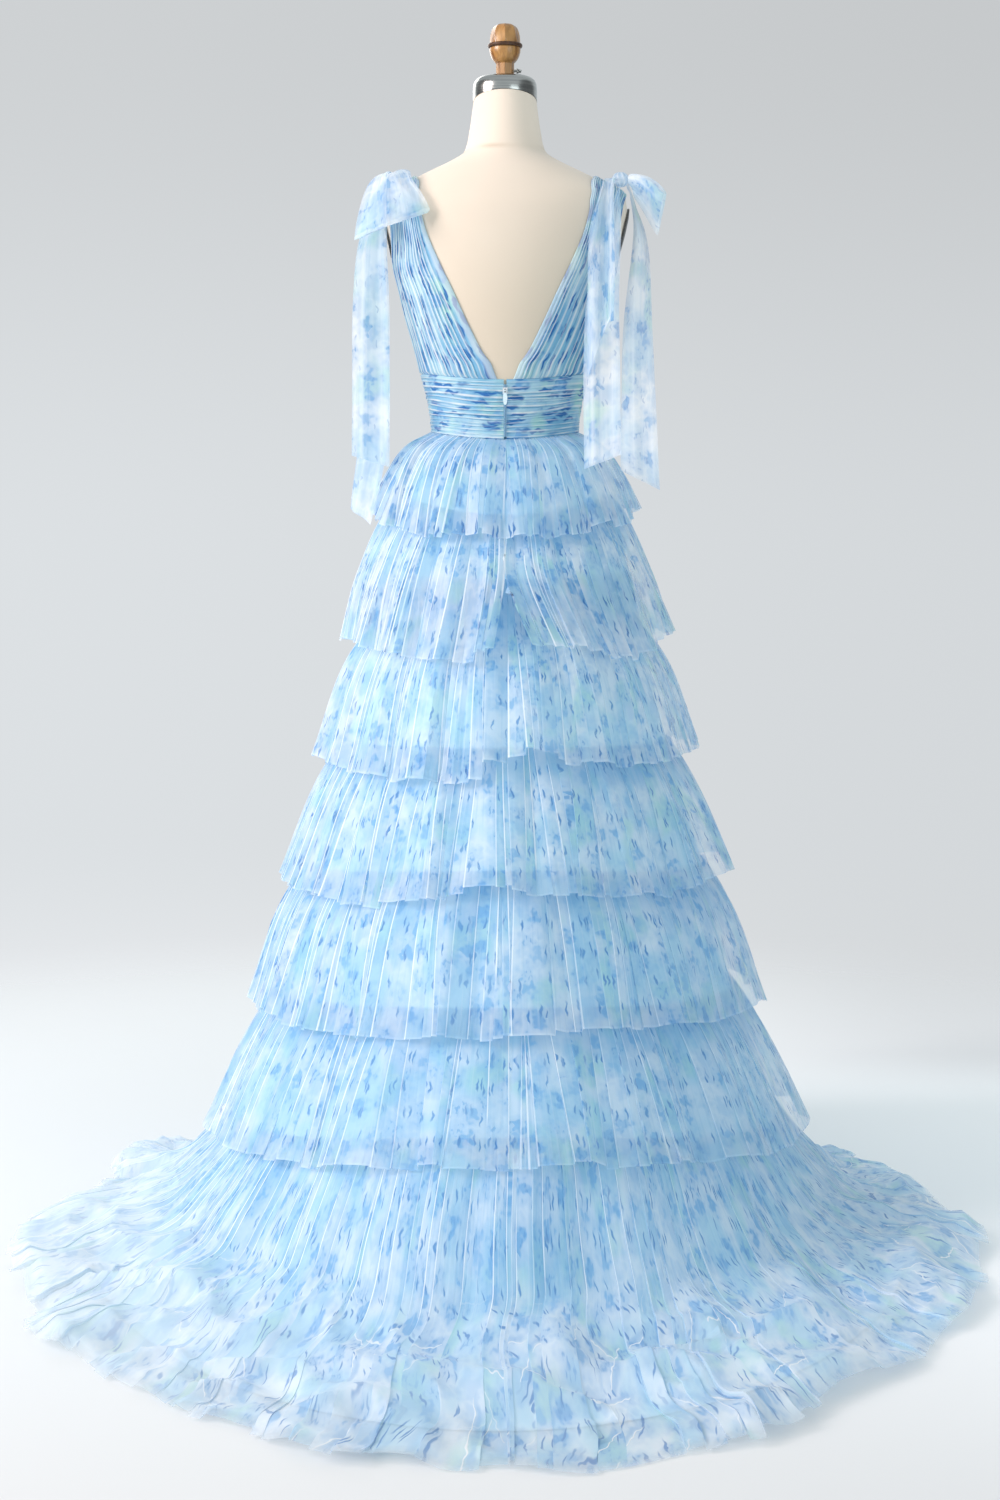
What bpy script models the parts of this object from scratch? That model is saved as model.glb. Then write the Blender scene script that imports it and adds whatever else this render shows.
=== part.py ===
"""Ball gown with a deep V back, shoulder bows, seven gathered tiers and a train, on a limbless dress form.

Metres, +Z up. The origin is the centre of the stand's base, on the floor. The front faces -Y and the
train runs out towards +Y, so +X is the wearer's left. Every cloth piece is a thin closed wall. The form's
body is one smooth figure, and the bodice, waistband and bows are worked out from that same figure.
"""

import math
from collections import namedtuple
from functools import partial

import bmesh
import bpy
import numpy as np
from mathutils import Matrix, Vector

# ---------------------------------------------------------------- driving dimensions

SEAM_GAP = 0.0004  # between two pieces that are sewn or stand face to face
CLOTH = 0.0013  # wall of the skirt's cloth
BODICE_CLOTH = 0.0016  # wall of the bodice's plain inside
BODY_CLEARANCE = 0.0013  # from the figure to the cloth on it

# The figure: height, half width at the side, depth behind the middle, depth in front of it.
FigureRow = namedtuple("FigureRow", "z half_width back front")
FIGURE = [
    FigureRow(0.800, 0.1480, 0.112, 0.100),  # underside, below the hips
    FigureRow(0.850, 0.1560, 0.120, 0.103),
    FigureRow(0.900, 0.1600, 0.124, 0.104),  # hips
    FigureRow(0.960, 0.1550, 0.118, 0.102),
    FigureRow(1.020, 0.1360, 0.103, 0.098),
    FigureRow(1.070, 0.1140, 0.088, 0.092),
    FigureRow(1.103, 0.1030, 0.081, 0.088),  # waist
    FigureRow(1.140, 0.1060, 0.083, 0.092),
    FigureRow(1.190, 0.1180, 0.089, 0.102),
    FigureRow(1.240, 0.1310, 0.094, 0.120),
    FigureRow(1.275, 0.1405, 0.097, 0.128),  # bust
    FigureRow(1.320, 0.1515, 0.100, 0.120),
    FigureRow(1.360, 0.1610, 0.101, 0.106),
    FigureRow(1.395, 0.1700, 0.100, 0.092),
    FigureRow(1.424, 0.1735, 0.096, 0.080),
    FigureRow(1.441, 0.1680, 0.090, 0.070),  # shoulder tip
    FigureRow(1.456, 0.1430, 0.083, 0.060),
    FigureRow(1.473, 0.1100, 0.074, 0.052),
    FigureRow(1.487, 0.0800, 0.064, 0.047),
    FigureRow(1.499, 0.0580, 0.055, 0.045),  # foot of the neck
    FigureRow(1.530, 0.0510, 0.050, 0.043),
    FigureRow(1.571, 0.0448, 0.0445, 0.0420),  # top of the neck
]
NECK_SLANT = 0.12  # rise of the neck's top per metre towards the back
NECK_SLANT_FROM = 1.510
NECK_TOP = 1.571

# Each tier's hem at its side, its back and its front, measured to the folds' crests.
Section = namedtuple("Section", "side_x side_z back_y back_z front_y front_z full shift", defaults=(0, 0))
TIER_HEMS = [
    Section(0.205, 0.987, 0.222, 0.957, 0.200, 0.987),
    Section(0.248, 0.800, 0.297, 0.801, 0.238, 0.804, 0, -0.003),
    Section(0.286, 0.637, 0.367, 0.648, 0.276, 0.640, 0, -0.003),
    Section(0.338, 0.460, 0.435, 0.493, 0.314, 0.464, 0, -0.003),
    Section(0.381, 0.286, 0.510, 0.326, 0.350, 0.288, 0, -0.003),
    Section(0.447, 0.102, 0.597, 0.178, 0.388, 0.108, 0, -0.003),
]
FOLDS_PER_TIER = 20
FOLD_LIFTS = (0.0, 1.0, 0.85)  # a fold's three points: its trough and its broad crest
HEM_FOLD = 0.018  # a hem's fold, trough to crest
PUFF_FOLD = 0.007  # the same where the tier above ends
SEAM_FOLD = 0.001  # the same at the seam
TIER_STEP = 0.022  # from one tier's hem in to the tier below it
SEAM_STEP = 0.054  # from one tier's hem in to the seam of the tier below it
SEAM_RISE = 0.030  # how far that seam lies above the hem that hides it

# ---------------------------------------------------------------- materials


def material(name, colour, roughness, metallic=0.0):
    made = bpy.data.materials.new(name)
    made.use_nodes = True
    shader = made.node_tree.nodes["Principled BSDF"]
    shader.inputs["Base Color"].default_value = (*colour, 1.0)
    shader.inputs["Roughness"].default_value = roughness
    shader.inputs["Metallic"].default_value = metallic
    return made


# ---------------------------------------------------------------- meshes


def add_object(name, mesh, finish):
    mesh.materials.append(finish)
    made = bpy.data.objects.new(name, mesh)
    bpy.context.scene.collection.objects.link(made)
    return made


def finish_mesh(name, bm, finish, sharp_degrees=40.0):
    """Turns the faces outwards, shades them smooth up to that angle, and makes the object."""
    bmesh.ops.recalc_face_normals(bm, faces=bm.faces)
    mesh = bpy.data.meshes.new(name)
    bm.to_mesh(mesh)
    bm.free()
    mesh.shade_smooth()
    mesh.set_sharp_from_angle(angle=math.radians(sharp_degrees))
    return add_object(name, mesh, finish)


def turns_about(piece, point):
    """Puts a piece's origin on the axis that it turns or slides on, and leaves its shape where it is."""
    piece.data.transform(Matrix.Translation(-Vector(point)))
    piece.location = point


def wall(name, inner, outer, around, finish):
    """A cloth wall as one closed mesh. Inner and outer are grids of points, with rows along the cloth and
    columns across it. The rims join the two grids, and around joins the last column to the first."""
    rows, columns = inner.shape[:2]
    bm = bmesh.new()
    sides = [[[bm.verts.new(p) for p in row] for row in grid] for grid in (inner, outer)]
    last = columns if around else columns - 1
    for grid in sides:
        for r in range(rows - 1):
            for c in range(last):
                d = (c + 1) % columns
                bm.faces.new((grid[r][c], grid[r][d], grid[r + 1][d], grid[r + 1][c]))
    low, high = sides
    for r in (0, rows - 1):
        for c in range(last):
            d = (c + 1) % columns
            bm.faces.new((low[r][c], low[r][d], high[r][d], high[r][c]))
    if not around:
        for c in (0, columns - 1):
            for r in range(rows - 1):
                bm.faces.new((low[r][c], low[r + 1][c], high[r + 1][c], high[r][c]))
    return finish_mesh(name, bm, finish)


def loft(name, rings, finish, sharp_degrees=40.0):
    """One closed solid through rings of points, each with the same count, with a flat face at both ends."""
    bm = bmesh.new()
    made = [[bm.verts.new(p) for p in ring] for ring in rings]
    for low, high in zip(made, made[1:]):
        for i in range(len(low)):
            j = (i + 1) % len(low)
            bm.faces.new((low[i], low[j], high[j], high[i]))
    bm.faces.new(made[0])
    bm.faces.new(made[-1])
    return finish_mesh(name, bm, finish, sharp_degrees)


def turned(radii_heights, points, centre=(0.0, 0.0)):
    """Rings of a turned piece: one circle of that many points for each radius and height."""
    turn = np.linspace(0, 2 * math.pi, points, endpoint=False)
    rings = []
    for radius, height in radii_heights:
        x = centre[0] + radius * np.cos(turn)
        y = centre[1] + radius * np.sin(turn)
        rings.append(np.stack([x, y, np.full(points, height)], axis=1))
    return rings


def boolean(target, cutter, operation):
    """Joins the cutter to the target, or cuts it away, and hides it as a helper."""
    cut = target.modifiers.new(operation.lower(), "BOOLEAN")
    cut.operation = operation
    cut.object = cutter
    cutter.hide_render = True
    cutter.display_type = "WIRE"


def normals(grid, around):
    """Unit normals of a grid of points, pointing away from the Z axis or upwards."""
    if around:
        across = np.roll(grid, -1, axis=1) - np.roll(grid, 1, axis=1)
    else:
        across = np.gradient(grid, axis=1)
    along = np.gradient(grid, axis=0)
    made = np.cross(across, along)
    made /= np.linalg.norm(made, axis=2, keepdims=True)
    outwards = grid * (1, 1, 0)
    outwards /= np.linalg.norm(outwards, axis=2, keepdims=True)
    outwards[..., 2] = 1.0
    return made * np.sign((made * outwards).sum(axis=2, keepdims=True))


def curve_through(places, values, at):
    """Smooth values between the rows of a table, as one cubic between each two places."""
    places, values, at = np.asarray(places), np.asarray(values), np.asarray(at, float)
    slopes = np.gradient(values, places)
    i = np.clip(np.searchsorted(places, at) - 1, 0, len(places) - 2)
    step = places[i + 1] - places[i]
    t = np.clip((at - places[i]) / step, 0.0, 1.0)
    start = (1 + 2 * t) * (1 - t) ** 2 * values[i] + t * (1 - t) ** 2 * step * slopes[i]
    end = t * t * (3 - 2 * t) * values[i + 1] - t * t * (1 - t) * step * slopes[i + 1]
    return start + end


# ---------------------------------------------------------------- the figure


def figure_size(z):
    """Half width, back depth and front depth of the figure at a height."""
    heights = [row.z for row in FIGURE]
    return [
        curve_through(heights, [getattr(row, name) for row in FIGURE], z)
        for name in ("half_width", "back", "front")
    ]


def figure_point(angle, z, out=0.0):
    """A point on the figure at an angle from the middle of the back, moved out by a distance."""
    half_width, back, front = figure_size(z)
    x = (half_width + out) * np.sin(angle)
    depth = np.where(np.cos(angle) > 0, back + out, front + out)
    y = depth * np.cos(angle)
    slant = NECK_SLANT * y * np.clip((z - NECK_SLANT_FROM) / (NECK_TOP - NECK_SLANT_FROM), 0, 1)
    return np.stack(np.broadcast_arrays(x, y, z + slant), axis=-1)


def figure_skin(angle, z, out):
    """A point of the figure moved out along its own normal, the gradient of (x/width)^2 + (y/depth)^2."""
    step = 1e-4
    width, back, front = figure_size(z)
    above, below = figure_size(z + step), figure_size(z - step)
    width_slope, back_slope, front_slope = [(a - b) / (2 * step) for a, b in zip(above, below)]
    behind = np.cos(angle) > 0
    depth = np.where(behind, back, front)
    depth_slope = np.where(behind, back_slope, front_slope)
    x, y = width * np.sin(angle), depth * np.cos(angle)
    rise = -(x**2) * width_slope / width**3 - y**2 * depth_slope / depth**3
    normal = np.stack(np.broadcast_arrays(x / width**2, y / depth**2, rise), axis=-1)
    normal /= np.linalg.norm(normal, axis=-1, keepdims=True)
    points = np.stack(np.broadcast_arrays(x, y, z), axis=-1)
    return points + normal * np.asarray(out)[..., None]


# ---------------------------------------------------------------- the dress form

BASE_RADIUS = 0.190
BASE_THICK = 0.018
POLE_RADIUS = 0.014
BODY_POINTS = 32
CAP_TOP = 1.6066
CAP_PROFILE = [(0.0452, 1.590), (0.0440, 1.598), (0.0385, 1.6045), (0.0280, CAP_TOP)]
SPIGOT_RADIUS = 0.0065
SPIGOT_TOP = CAP_TOP + 0.0140
BORE_RADIUS = 0.0069
BORE_TOP = CAP_TOP + 0.0146
SCREW_Z = CAP_TOP + 0.0080
SCREW_RADIUS = 0.0020
SCREW_HOLE_RADIUS = 0.0024
SCREW_TIP = 0.0071
WING_HALF_SPAN = 0.0068


def build_form(linen, steel, wood, dark_ring, iron):
    base = [
        (BASE_RADIUS - 0.002, 0.0),
        (BASE_RADIUS, 0.002),
        (BASE_RADIUS, BASE_THICK - 0.008),
        (BASE_RADIUS - 0.010, BASE_THICK - 0.002),
        (POLE_RADIUS + 0.020, BASE_THICK),
    ]
    loft("stand_base", turned(base, 28), iron, 30)
    body_bottom = FIGURE[0].z
    pole = [(POLE_RADIUS, BASE_THICK + SEAM_GAP), (POLE_RADIUS, body_bottom - SEAM_GAP)]
    loft("stand_pole", turned(pole, 16), steel)

    heights = np.concatenate(
        [
            [0.800, 0.850, 0.900, 0.960, 1.010, 1.045, 1.075, 1.090, 1.103, 1.118, 1.135, 1.155],
            np.arange(1.180, 1.400, 0.030),
            [1.426, 1.435, 1.443, 1.450, 1.458, 1.467, 1.477, 1.489, 1.501, 1.530, NECK_TOP],
        ]
    )
    turn = np.linspace(0, 2 * math.pi, BODY_POINTS, endpoint=False)
    loft("form_body", [figure_point(turn, z) for z in heights], linen, 60)

    foot = figure_point(turn, NECK_TOP, 0.0006)
    foot[:, 2] += SEAM_GAP
    upright = turned(CAP_PROFILE, BODY_POINTS)
    spigot = turned([(SPIGOT_RADIUS, CAP_TOP), (SPIGOT_RADIUS, SPIGOT_TOP)], BODY_POINTS)
    # The figure's angle starts at the back and runs the other way round from a turned ring's.
    rest = [ring[:, [1, 0, 2]] for ring in upright + spigot]
    loft("neck_cap", [foot, *rest], steel, 35)

    build_finial(wood, dark_ring, steel)
    for side, name in ((1, "left"), (-1, "right")):
        arm_plate(f"arm_plate_{name}", side, steel)


# The finial's outline: height above the neck cap, radius, and how far its eight sides are flattened.
FinialRow = namedtuple("FinialRow", "up radius facets")
FINIAL = [
    FinialRow(SEAM_GAP, 0.0128, 1.0),  # the post
    FinialRow(0.0185, 0.0128, 1.0),
    FinialRow(0.0205, 0.0150, 0.0),  # the bowl, round
    FinialRow(0.0265, 0.0192, 0.0),
    FinialRow(0.0335, 0.0216, 0.0),
    FinialRow(0.0395, 0.0220, 0.0),
    FinialRow(0.0400, 0.0210, 0.0),  # the groove that the ring lies in
    FinialRow(0.0460, 0.0210, 0.0),
    FinialRow(0.0465, 0.0214, 0.6),  # the cap, with soft sides
    FinialRow(0.0570, 0.0208, 1.0),
    FinialRow(0.0665, 0.0180, 1.0),
    FinialRow(0.0705, 0.0145, 1.0),
    FinialRow(0.0730, 0.0090, 1.0),
]
RING_OUTLINE = [(0.0214, 0.0404), (0.0241, 0.0414), (0.0245, 0.0430), (0.0241, 0.0446), (0.0214, 0.0456)]


def faceted_ring(radius, z, facets, points=16):
    """A circle whose eight sides flatten as facets goes from 0 to 1."""
    turn = np.linspace(0, 2 * math.pi, points, endpoint=False)
    eighth = math.pi / 4
    octagon = math.cos(eighth / 2) / np.cos(np.mod(turn, eighth) - eighth / 2)
    reach = radius * (1 + facets * (octagon - 1))
    return np.stack([reach * np.cos(turn), reach * np.sin(turn), np.full(points, z)], axis=1)


def build_finial(wood, dark_ring, steel):
    """The wooden knob over the cap's spigot, its ring, and the thumb screw that clamps it."""
    bore = [faceted_ring(BORE_RADIUS, z, 0.0) for z in (BORE_TOP, CAP_TOP + SEAM_GAP)]
    outside = [faceted_ring(row.radius, CAP_TOP + row.up, row.facets) for row in FINIAL]
    finial = loft("finial", [*bore, *outside], wood, 30)
    hole = loft("finial_screw_hole", along_minus_x([(SCREW_HOLE_RADIUS, 0.0045), (SCREW_HOLE_RADIUS, 0.020)]), steel)
    boolean(finial, hole, "DIFFERENCE")
    turns_about(finial, (0, 0, CAP_TOP))

    bm = bmesh.new()
    outline = [(radius, CAP_TOP + up) for radius, up in RING_OUTLINE]
    rows = [[bm.verts.new(p) for p in ring] for ring in turned(outline, 24)]
    for low, high in zip(rows, rows[1:] + rows[:1]):
        for i in range(len(low)):
            j = (i + 1) % len(low)
            bm.faces.new((low[i], low[j], high[j], high[i]))
    turns_about(finish_mesh("finial_ring", bm, dark_ring, 60), (0, 0, CAP_TOP))

    shank = [
        (SCREW_RADIUS, SCREW_TIP),
        (SCREW_RADIUS, 0.0155),
        (0.0034, 0.0160),
        (0.0034, 0.0180),
        (0.0024, 0.0200),
        (0.0024, 0.0225),
    ]
    screw = loft("thumb_screw", along_minus_x(shank), steel)
    turn = np.linspace(0, 2 * math.pi, 16, endpoint=False)
    waist = 0.45 + 0.55 * np.abs(np.cos(turn))  # two ears, narrower between them
    wing = []
    for offset in (-0.0008, 0.0008):
        y = WING_HALF_SPAN * np.cos(turn)
        x = -0.0212 + 0.0036 * waist * np.sin(turn)
        wing.append(np.stack([x, y, np.full(16, SCREW_Z + offset)], axis=1))
    boolean(screw, loft("thumb_screw_wing", wing, steel), "UNION")
    turns_about(screw, (-SCREW_TIP, 0, SCREW_Z))


def along_minus_x(radii_reaches, points=12):
    """Rings round the thumb screw's axis, from the form's middle out towards -X."""
    turn = np.linspace(0, 2 * math.pi, points, endpoint=False)
    return [
        np.stack(
            [np.full(points, -reach), radius * np.cos(turn), SCREW_Z + radius * np.sin(turn)],
            axis=1,
        )
        for radius, reach in radii_reaches
    ]


PLATE_Z = 1.388
PLATE_HALF_DEPTH = 0.016
PLATE_HALF_HEIGHT = 0.034
PLATE_GAP = 0.0007
PLATE_THICK = 0.0030


def arm_plate(name, side, finish):
    """The oval plate at the arm's cut: rings of points over the figure's side, and the same moved out."""
    spokes = np.linspace(0, 2 * math.pi, 16, endpoint=False)
    shares = (1.0, 0.6, 0.25)
    grids = []
    for out in (PLATE_GAP, PLATE_GAP + PLATE_THICK):
        rows = []
        for share in shares:
            z = PLATE_Z + share * PLATE_HALF_HEIGHT * np.sin(spokes)
            y = share * PLATE_HALF_DEPTH * np.cos(spokes)
            back, front = figure_size(z)[1:]
            angle = np.arccos(y / np.where(y > 0, back, front))
            rows.append(figure_skin(angle, z, out + 0 * z) * (side, 1, 1))
        grids.append(rows)
    inside, outside = grids
    loft(name, [*inside[::-1], *outside], finish)


# ---------------------------------------------------------------- bodice and waistband

BAND_RUCHES = 5
BAND_RUCHE_RISE = 0.0022
BAND_HALF_ZIP_GAP = 0.0022
BAND_BOTTOM = 1.1045
BAND_TOP = 1.1885
BAND_DIP = 0.0120  # how much lower the band lies at the middle of the back

# A panel's two edges: degrees round the figure from the middle of its own side, and the height there.
PanelRow = namedtuple("PanelRow", "inner_turn inner_z outer_turn outer_z")
BACK_PANEL = [
    PanelRow(5.5, BAND_TOP, 90, BAND_TOP),  # on the waistband
    PanelRow(13.9, 1.212, 90, 1.220),
    PanelRow(22.6, 1.255, 90, 1.258),
    PanelRow(29.3, 1.298, 90, 1.297),
    PanelRow(35.9, 1.340, 90, 1.333),  # underarm
    PanelRow(40.3, 1.375, 77, 1.366),
    PanelRow(42.3, 1.406, 70, 1.396),
    PanelRow(43.5, 1.430, 70, 1.419),
    PanelRow(46.5, 1.443, 74, 1.430),
    PanelRow(54.0, 1.453, 80, 1.436),
    PanelRow(68.0, 1.461, 86, 1.439),
    PanelRow(90.0, 1.466, 90, 1.440),  # shoulder line
]
FRONT_PANEL = [
    PanelRow(0.0, BAND_TOP, 90, BAND_TOP),
    PanelRow(0.0, 1.220, 90, 1.220),
    PanelRow(5.0, 1.250, 90, 1.250),  # the foot of the front V
    PanelRow(10.5, 1.275, 90, 1.275),
    PanelRow(18.0, 1.307, 90, 1.303),
    PanelRow(25.5, 1.342, 90, 1.333),
    PanelRow(31.5, 1.375, 76, 1.366),
    PanelRow(37.0, 1.406, 67, 1.396),
    PanelRow(41.0, 1.430, 68, 1.419),
    PanelRow(45.5, 1.443, 73, 1.430),
    PanelRow(54.0, 1.453, 80, 1.436),
    PanelRow(68.0, 1.461, 86, 1.439),
    PanelRow(90.0, 1.466, 90, 1.440),
]
PANEL_PLEATS = 5
PANEL_PLEAT_RISE = 0.0022


def band_height(angle, z):
    """A height on the band, lower towards the middle of the back."""
    return z - BAND_DIP * np.clip(np.cos(angle), 0, 1) ** 2


def bodice_panel(name, table, side, facing, finish):
    """One pleated panel from the waistband to the shoulder, plain inside and with its pleats raised outside."""
    columns = 2 * PANEL_PLEATS + 1
    across = np.linspace(0, 1, columns)
    rows = np.array(table)
    turn = np.radians(rows[:, None, 0] + (rows[:, None, 2] - rows[:, None, 0]) * across)
    angle = turn if facing > 0 else math.pi - turn
    z = rows[:, None, 1] + (rows[:, None, 3] - rows[:, None, 1]) * across
    z[0] = band_height(angle[0], BAND_TOP) + SEAM_GAP
    pleat = np.where(np.arange(columns) % 2 == 1, PANEL_PLEAT_RISE, 0.0)
    inner = figure_skin(angle, z, BODY_CLEARANCE)
    outer = figure_skin(angle, z, BODY_CLEARANCE + BODICE_CLOTH + pleat + 0 * z)
    for grid in (inner, outer):
        grid[0, :, 2] = z[0]
        grid += (SEAM_GAP / 2, facing * SEAM_GAP / 2, 0.0)
        grid[..., 0] *= side
    return wall(name, inner, outer, False, finish)


def band_piece(name, start, end, columns, finish):
    """A stretch of the waistband between two angles from the middle of the back, with ruches running round it."""
    angles = np.linspace(start, end, columns)
    count = 2 * BAND_RUCHES + 1
    share = np.linspace(0, 1, count)[:, None]
    z = band_height(angles, BAND_BOTTOM + (BAND_TOP - BAND_BOTTOM) * share)
    ruche = np.where(np.arange(count) % 2 == 1, BAND_RUCHE_RISE, 0.0)[:, None]
    inner = figure_skin(angles + 0 * z, z, BODY_CLEARANCE + 0 * z)
    outer = figure_skin(angles + 0 * z, z, BODY_CLEARANCE + BODICE_CLOTH + ruche + 0 * z)
    for grid in (inner, outer):
        grid[[0, -1], :, 2] = z[[0, -1]]
    return wall(name, inner, outer, False, finish)


def build_bodice(pleated):
    for side, name in ((1, "left"), (-1, "right")):
        bodice_panel(f"bodice_back_{name}", BACK_PANEL, side, 1, pleated)
        bodice_panel(f"bodice_front_{name}", FRONT_PANEL, side, -1, pleated)
    waist_radius = float(figure_size(BAND_BOTTOM)[1])
    zip_angle = BAND_HALF_ZIP_GAP / float(figure_size(BAND_BOTTOM)[0])
    seam_angle = SEAM_GAP / 2 / waist_radius
    side_seam = math.pi / 2
    band_piece("waistband_back_left", zip_angle, side_seam - seam_angle, 9, pleated)
    band_piece("waistband_back_right", -side_seam + seam_angle, -zip_angle, 9, pleated)
    band_piece("waistband_front", side_seam + seam_angle, 3 * side_seam - seam_angle, 17, pleated)


# ---------------------------------------------------------------- zip

ZIP_TOP = 1.1690
ZIP_BOTTOM = 1.0960
ZIP_HALF_WIDTH = 0.0016
ZIP_RISE = 0.0026  # how far the chain stands above the band
SLIDER_Z = 1.1600
SLIDER_HALF = (0.0034, 0.0013, 0.0045)
BRIDGE_RISE = 0.0024  # the window under the slider's bridge, which the pull's top bar turns in
BRIDGE_BAR = 0.0008
BRIDGE_HALF_WIDTH = 0.0006
BRIDGE_POST_Z = 0.0027
PIVOT_Z = 1.1610
PULL_TOP = 0.0005  # half the height of the pull's top bar
PULL_LENGTH = 0.0210
PULL_HALF_THICK = 0.0005
PULL_SLOT = (0.0012, 0.0020)  # half the width and half the height of the slot under the top bar


def box(name, centre, half, finish):
    bm = bmesh.new()
    bmesh.ops.create_cube(bm, size=2.0, matrix=Matrix.Translation(centre) @ Matrix.Diagonal((*half, 1.0)))
    return finish_mesh(name, bm, finish)


def chain_face(z):
    """How far back the outer face of the zip's chain lies at a height."""
    return float(figure_size(z)[1]) + BODY_CLEARANCE + BODICE_CLOTH + ZIP_RISE


def build_zip(tape, steel):
    """The zip between the band's back halves: its chain, the slider with a bar, and the pull that hangs on it."""
    rings = []
    for z in np.linspace(ZIP_BOTTOM, ZIP_TOP, 8):
        high = chain_face(z)
        low = high - BODICE_CLOTH - ZIP_RISE
        corners = [(-ZIP_HALF_WIDTH, low), (ZIP_HALF_WIDTH, low), (ZIP_HALF_WIDTH, high), (-ZIP_HALF_WIDTH, high)]
        rings.append([(x, y, z) for x, y in corners])
    loft("zip_chain", rings, tape)

    slider_y = chain_face(SLIDER_Z + SLIDER_HALF[2]) + SEAM_GAP + SLIDER_HALF[1]
    face = slider_y + SLIDER_HALF[1]
    slider = box("zip_slider", (0, slider_y, SLIDER_Z), SLIDER_HALF, steel)
    reach = BRIDGE_RISE + BRIDGE_BAR
    top_half = (BRIDGE_HALF_WIDTH, BRIDGE_BAR / 2, BRIDGE_POST_Z + BRIDGE_BAR / 2)
    boolean(slider, box("bridge_top", (0, face + reach - BRIDGE_BAR / 2, SLIDER_Z), top_half, steel), "UNION")
    for end in (-1, 1):
        centre = (0, face + reach / 2 - BRIDGE_BAR / 2, SLIDER_Z + end * BRIDGE_POST_Z)
        half = (BRIDGE_HALF_WIDTH, reach / 2, BRIDGE_BAR / 2)
        boolean(slider, box(f"bridge_post_{end + 1}", centre, half, steel), "UNION")

    pivot_y = face + BRIDGE_RISE / 2
    plate = []
    for offset in (-PULL_HALF_THICK, PULL_HALF_THICK):
        right, left = [], []
        for share in np.linspace(0, 1, 9):  # a long drop, widest low down
            half = 0.0021 + 0.0010 * math.sin(math.pi * share**1.3) ** 2
            half = half if share < 1 else 0.0013
            z = PIVOT_Z + PULL_TOP - share * PULL_LENGTH
            right.append((half, pivot_y + offset, z))
            left.append((-half, pivot_y + offset, z))
        plate.append(right + left[::-1])
    pull = loft("zip_pull", plate, steel)
    slot_centre = (0, pivot_y, PIVOT_Z - PULL_TOP - PULL_SLOT[1])
    boolean(pull, box("pull_slot", slot_centre, (PULL_SLOT[0], 0.002, PULL_SLOT[1]), steel), "DIFFERENCE")
    turns_about(pull, (0, pivot_y, PIVOT_Z))


# ---------------------------------------------------------------- skirt


def inset(section, inwards, up=0.0):
    return Section(
        section.side_x - inwards,
        section.side_z + up,
        section.back_y - inwards,
        section.back_z + up,
        section.front_y - inwards,
        section.front_z + up,
        section.full,
        section.shift,
    )


def ring_points(section, angles):
    """A ring through a section's side, back and front. Angles run from the middle of the back."""
    behind = np.clip(np.cos(angles), 0, 1)
    before = np.clip(-np.cos(angles), 0, 1)
    fullness = 1 + section.full * np.clip(2 * np.abs(np.sin(angles)) * behind, 0, 1) ** 0.6
    x = section.side_x * np.sin(angles) * fullness + section.shift
    y = section.back_y * behind - section.front_y * before
    z = section.side_z + (section.back_z - section.side_z) * behind**2
    z = z + (section.front_z - section.side_z) * before**2
    return np.stack([x, y, z], axis=-1)


def waist_line(out, angles):
    """The ring just under the waistband, at a distance from the figure."""
    z = band_height(angles, BAND_BOTTOM) - SEAM_GAP
    level = figure_skin(angles, z, out)
    level[:, 2] = z
    return level


def around(section):
    return partial(ring_points, section)


def cloth_ring(name, rows, shift, finish, slit=None):
    """A gathered tier. Each row is a ring and its fold depth, and the folds rise outwards from the ring.
    Shift moves the folds round by that many points, and slit gives half the width of the opening at the
    middle of the back for each row."""
    steps = len(FOLD_LIFTS) * FOLDS_PER_TIER
    j = np.arange(steps if slit is None else steps + 1)
    ends = 1.0 if slit is None else (j > 0) * (j < steps)
    grid = []
    for i, (ring, _) in enumerate(rows):
        wander = 0.3 * np.sin(1.7 * j + shift) * ends * min(i, 1)
        half_angle = 0.0 if slit is None else slit[i]
        grid.append(ring(half_angle + (2 * math.pi - 2 * half_angle) * (j + wander) / steps))
    grid = np.array(grid)
    out = normals(grid, slit is None)
    out[0, :, 2] = 0.0
    out[0] /= np.linalg.norm(out[0], axis=1, keepdims=True)
    fold = (j + shift) // len(FOLD_LIFTS) % FOLDS_PER_TIER
    lifts = np.array(FOLD_LIFTS)[(j + shift) % len(FOLD_LIFTS)] * (0.78 + 0.22 * np.sin(2.4 * fold + shift))
    depth = np.array([fold_depth for _, fold_depth in rows])[:, None, None]
    inner = grid + out * depth * lifts[:, None]
    outer = inner + out * CLOTH
    return wall(name, inner, outer, slit is None, finish)


# The floor-length part of tier 7 with its fold depths, and that of the underskirt.
TRAIN = [
    (Section(0.4520, 0.0560, 0.6400, 0.1030, 0.3900, 0.0640), 0.012),
    (Section(0.4860, 0.0220, 0.7100, 0.0390, 0.4010, 0.0340, 0.02), 0.013),
    (Section(0.5180, 0.0080, 0.8000, 0.0105, 0.4090, 0.0140, 0.06, 0.004), 0.013),
    (Section(0.5550, 0.0042, 0.9500, 0.0045, 0.4160, 0.0045, 0.10, 0.008), 0.012),
    (Section(0.5950, 0.0000, 1.1200, 0.0000, 0.4220, 0.0000, 0.17, 0.010), 0.010),
]
UNDERSKIRT_TRAIN = [
    Section(0.4230, 0.0590, 0.6000, 0.1060, 0.3600, 0.0680),
    Section(0.4560, 0.0180, 0.6760, 0.0390, 0.3720, 0.0330, 0.02),
    Section(0.4850, 0.0035, 0.7650, 0.0055, 0.3790, 0.0115, 0.05, 0.004),
    Section(0.5380, 0.0000, 1.0000, 0.0000, 0.3840, 0.0000, 0.10, 0.008),
]
UNDERSKIRT_POINTS = 30
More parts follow.
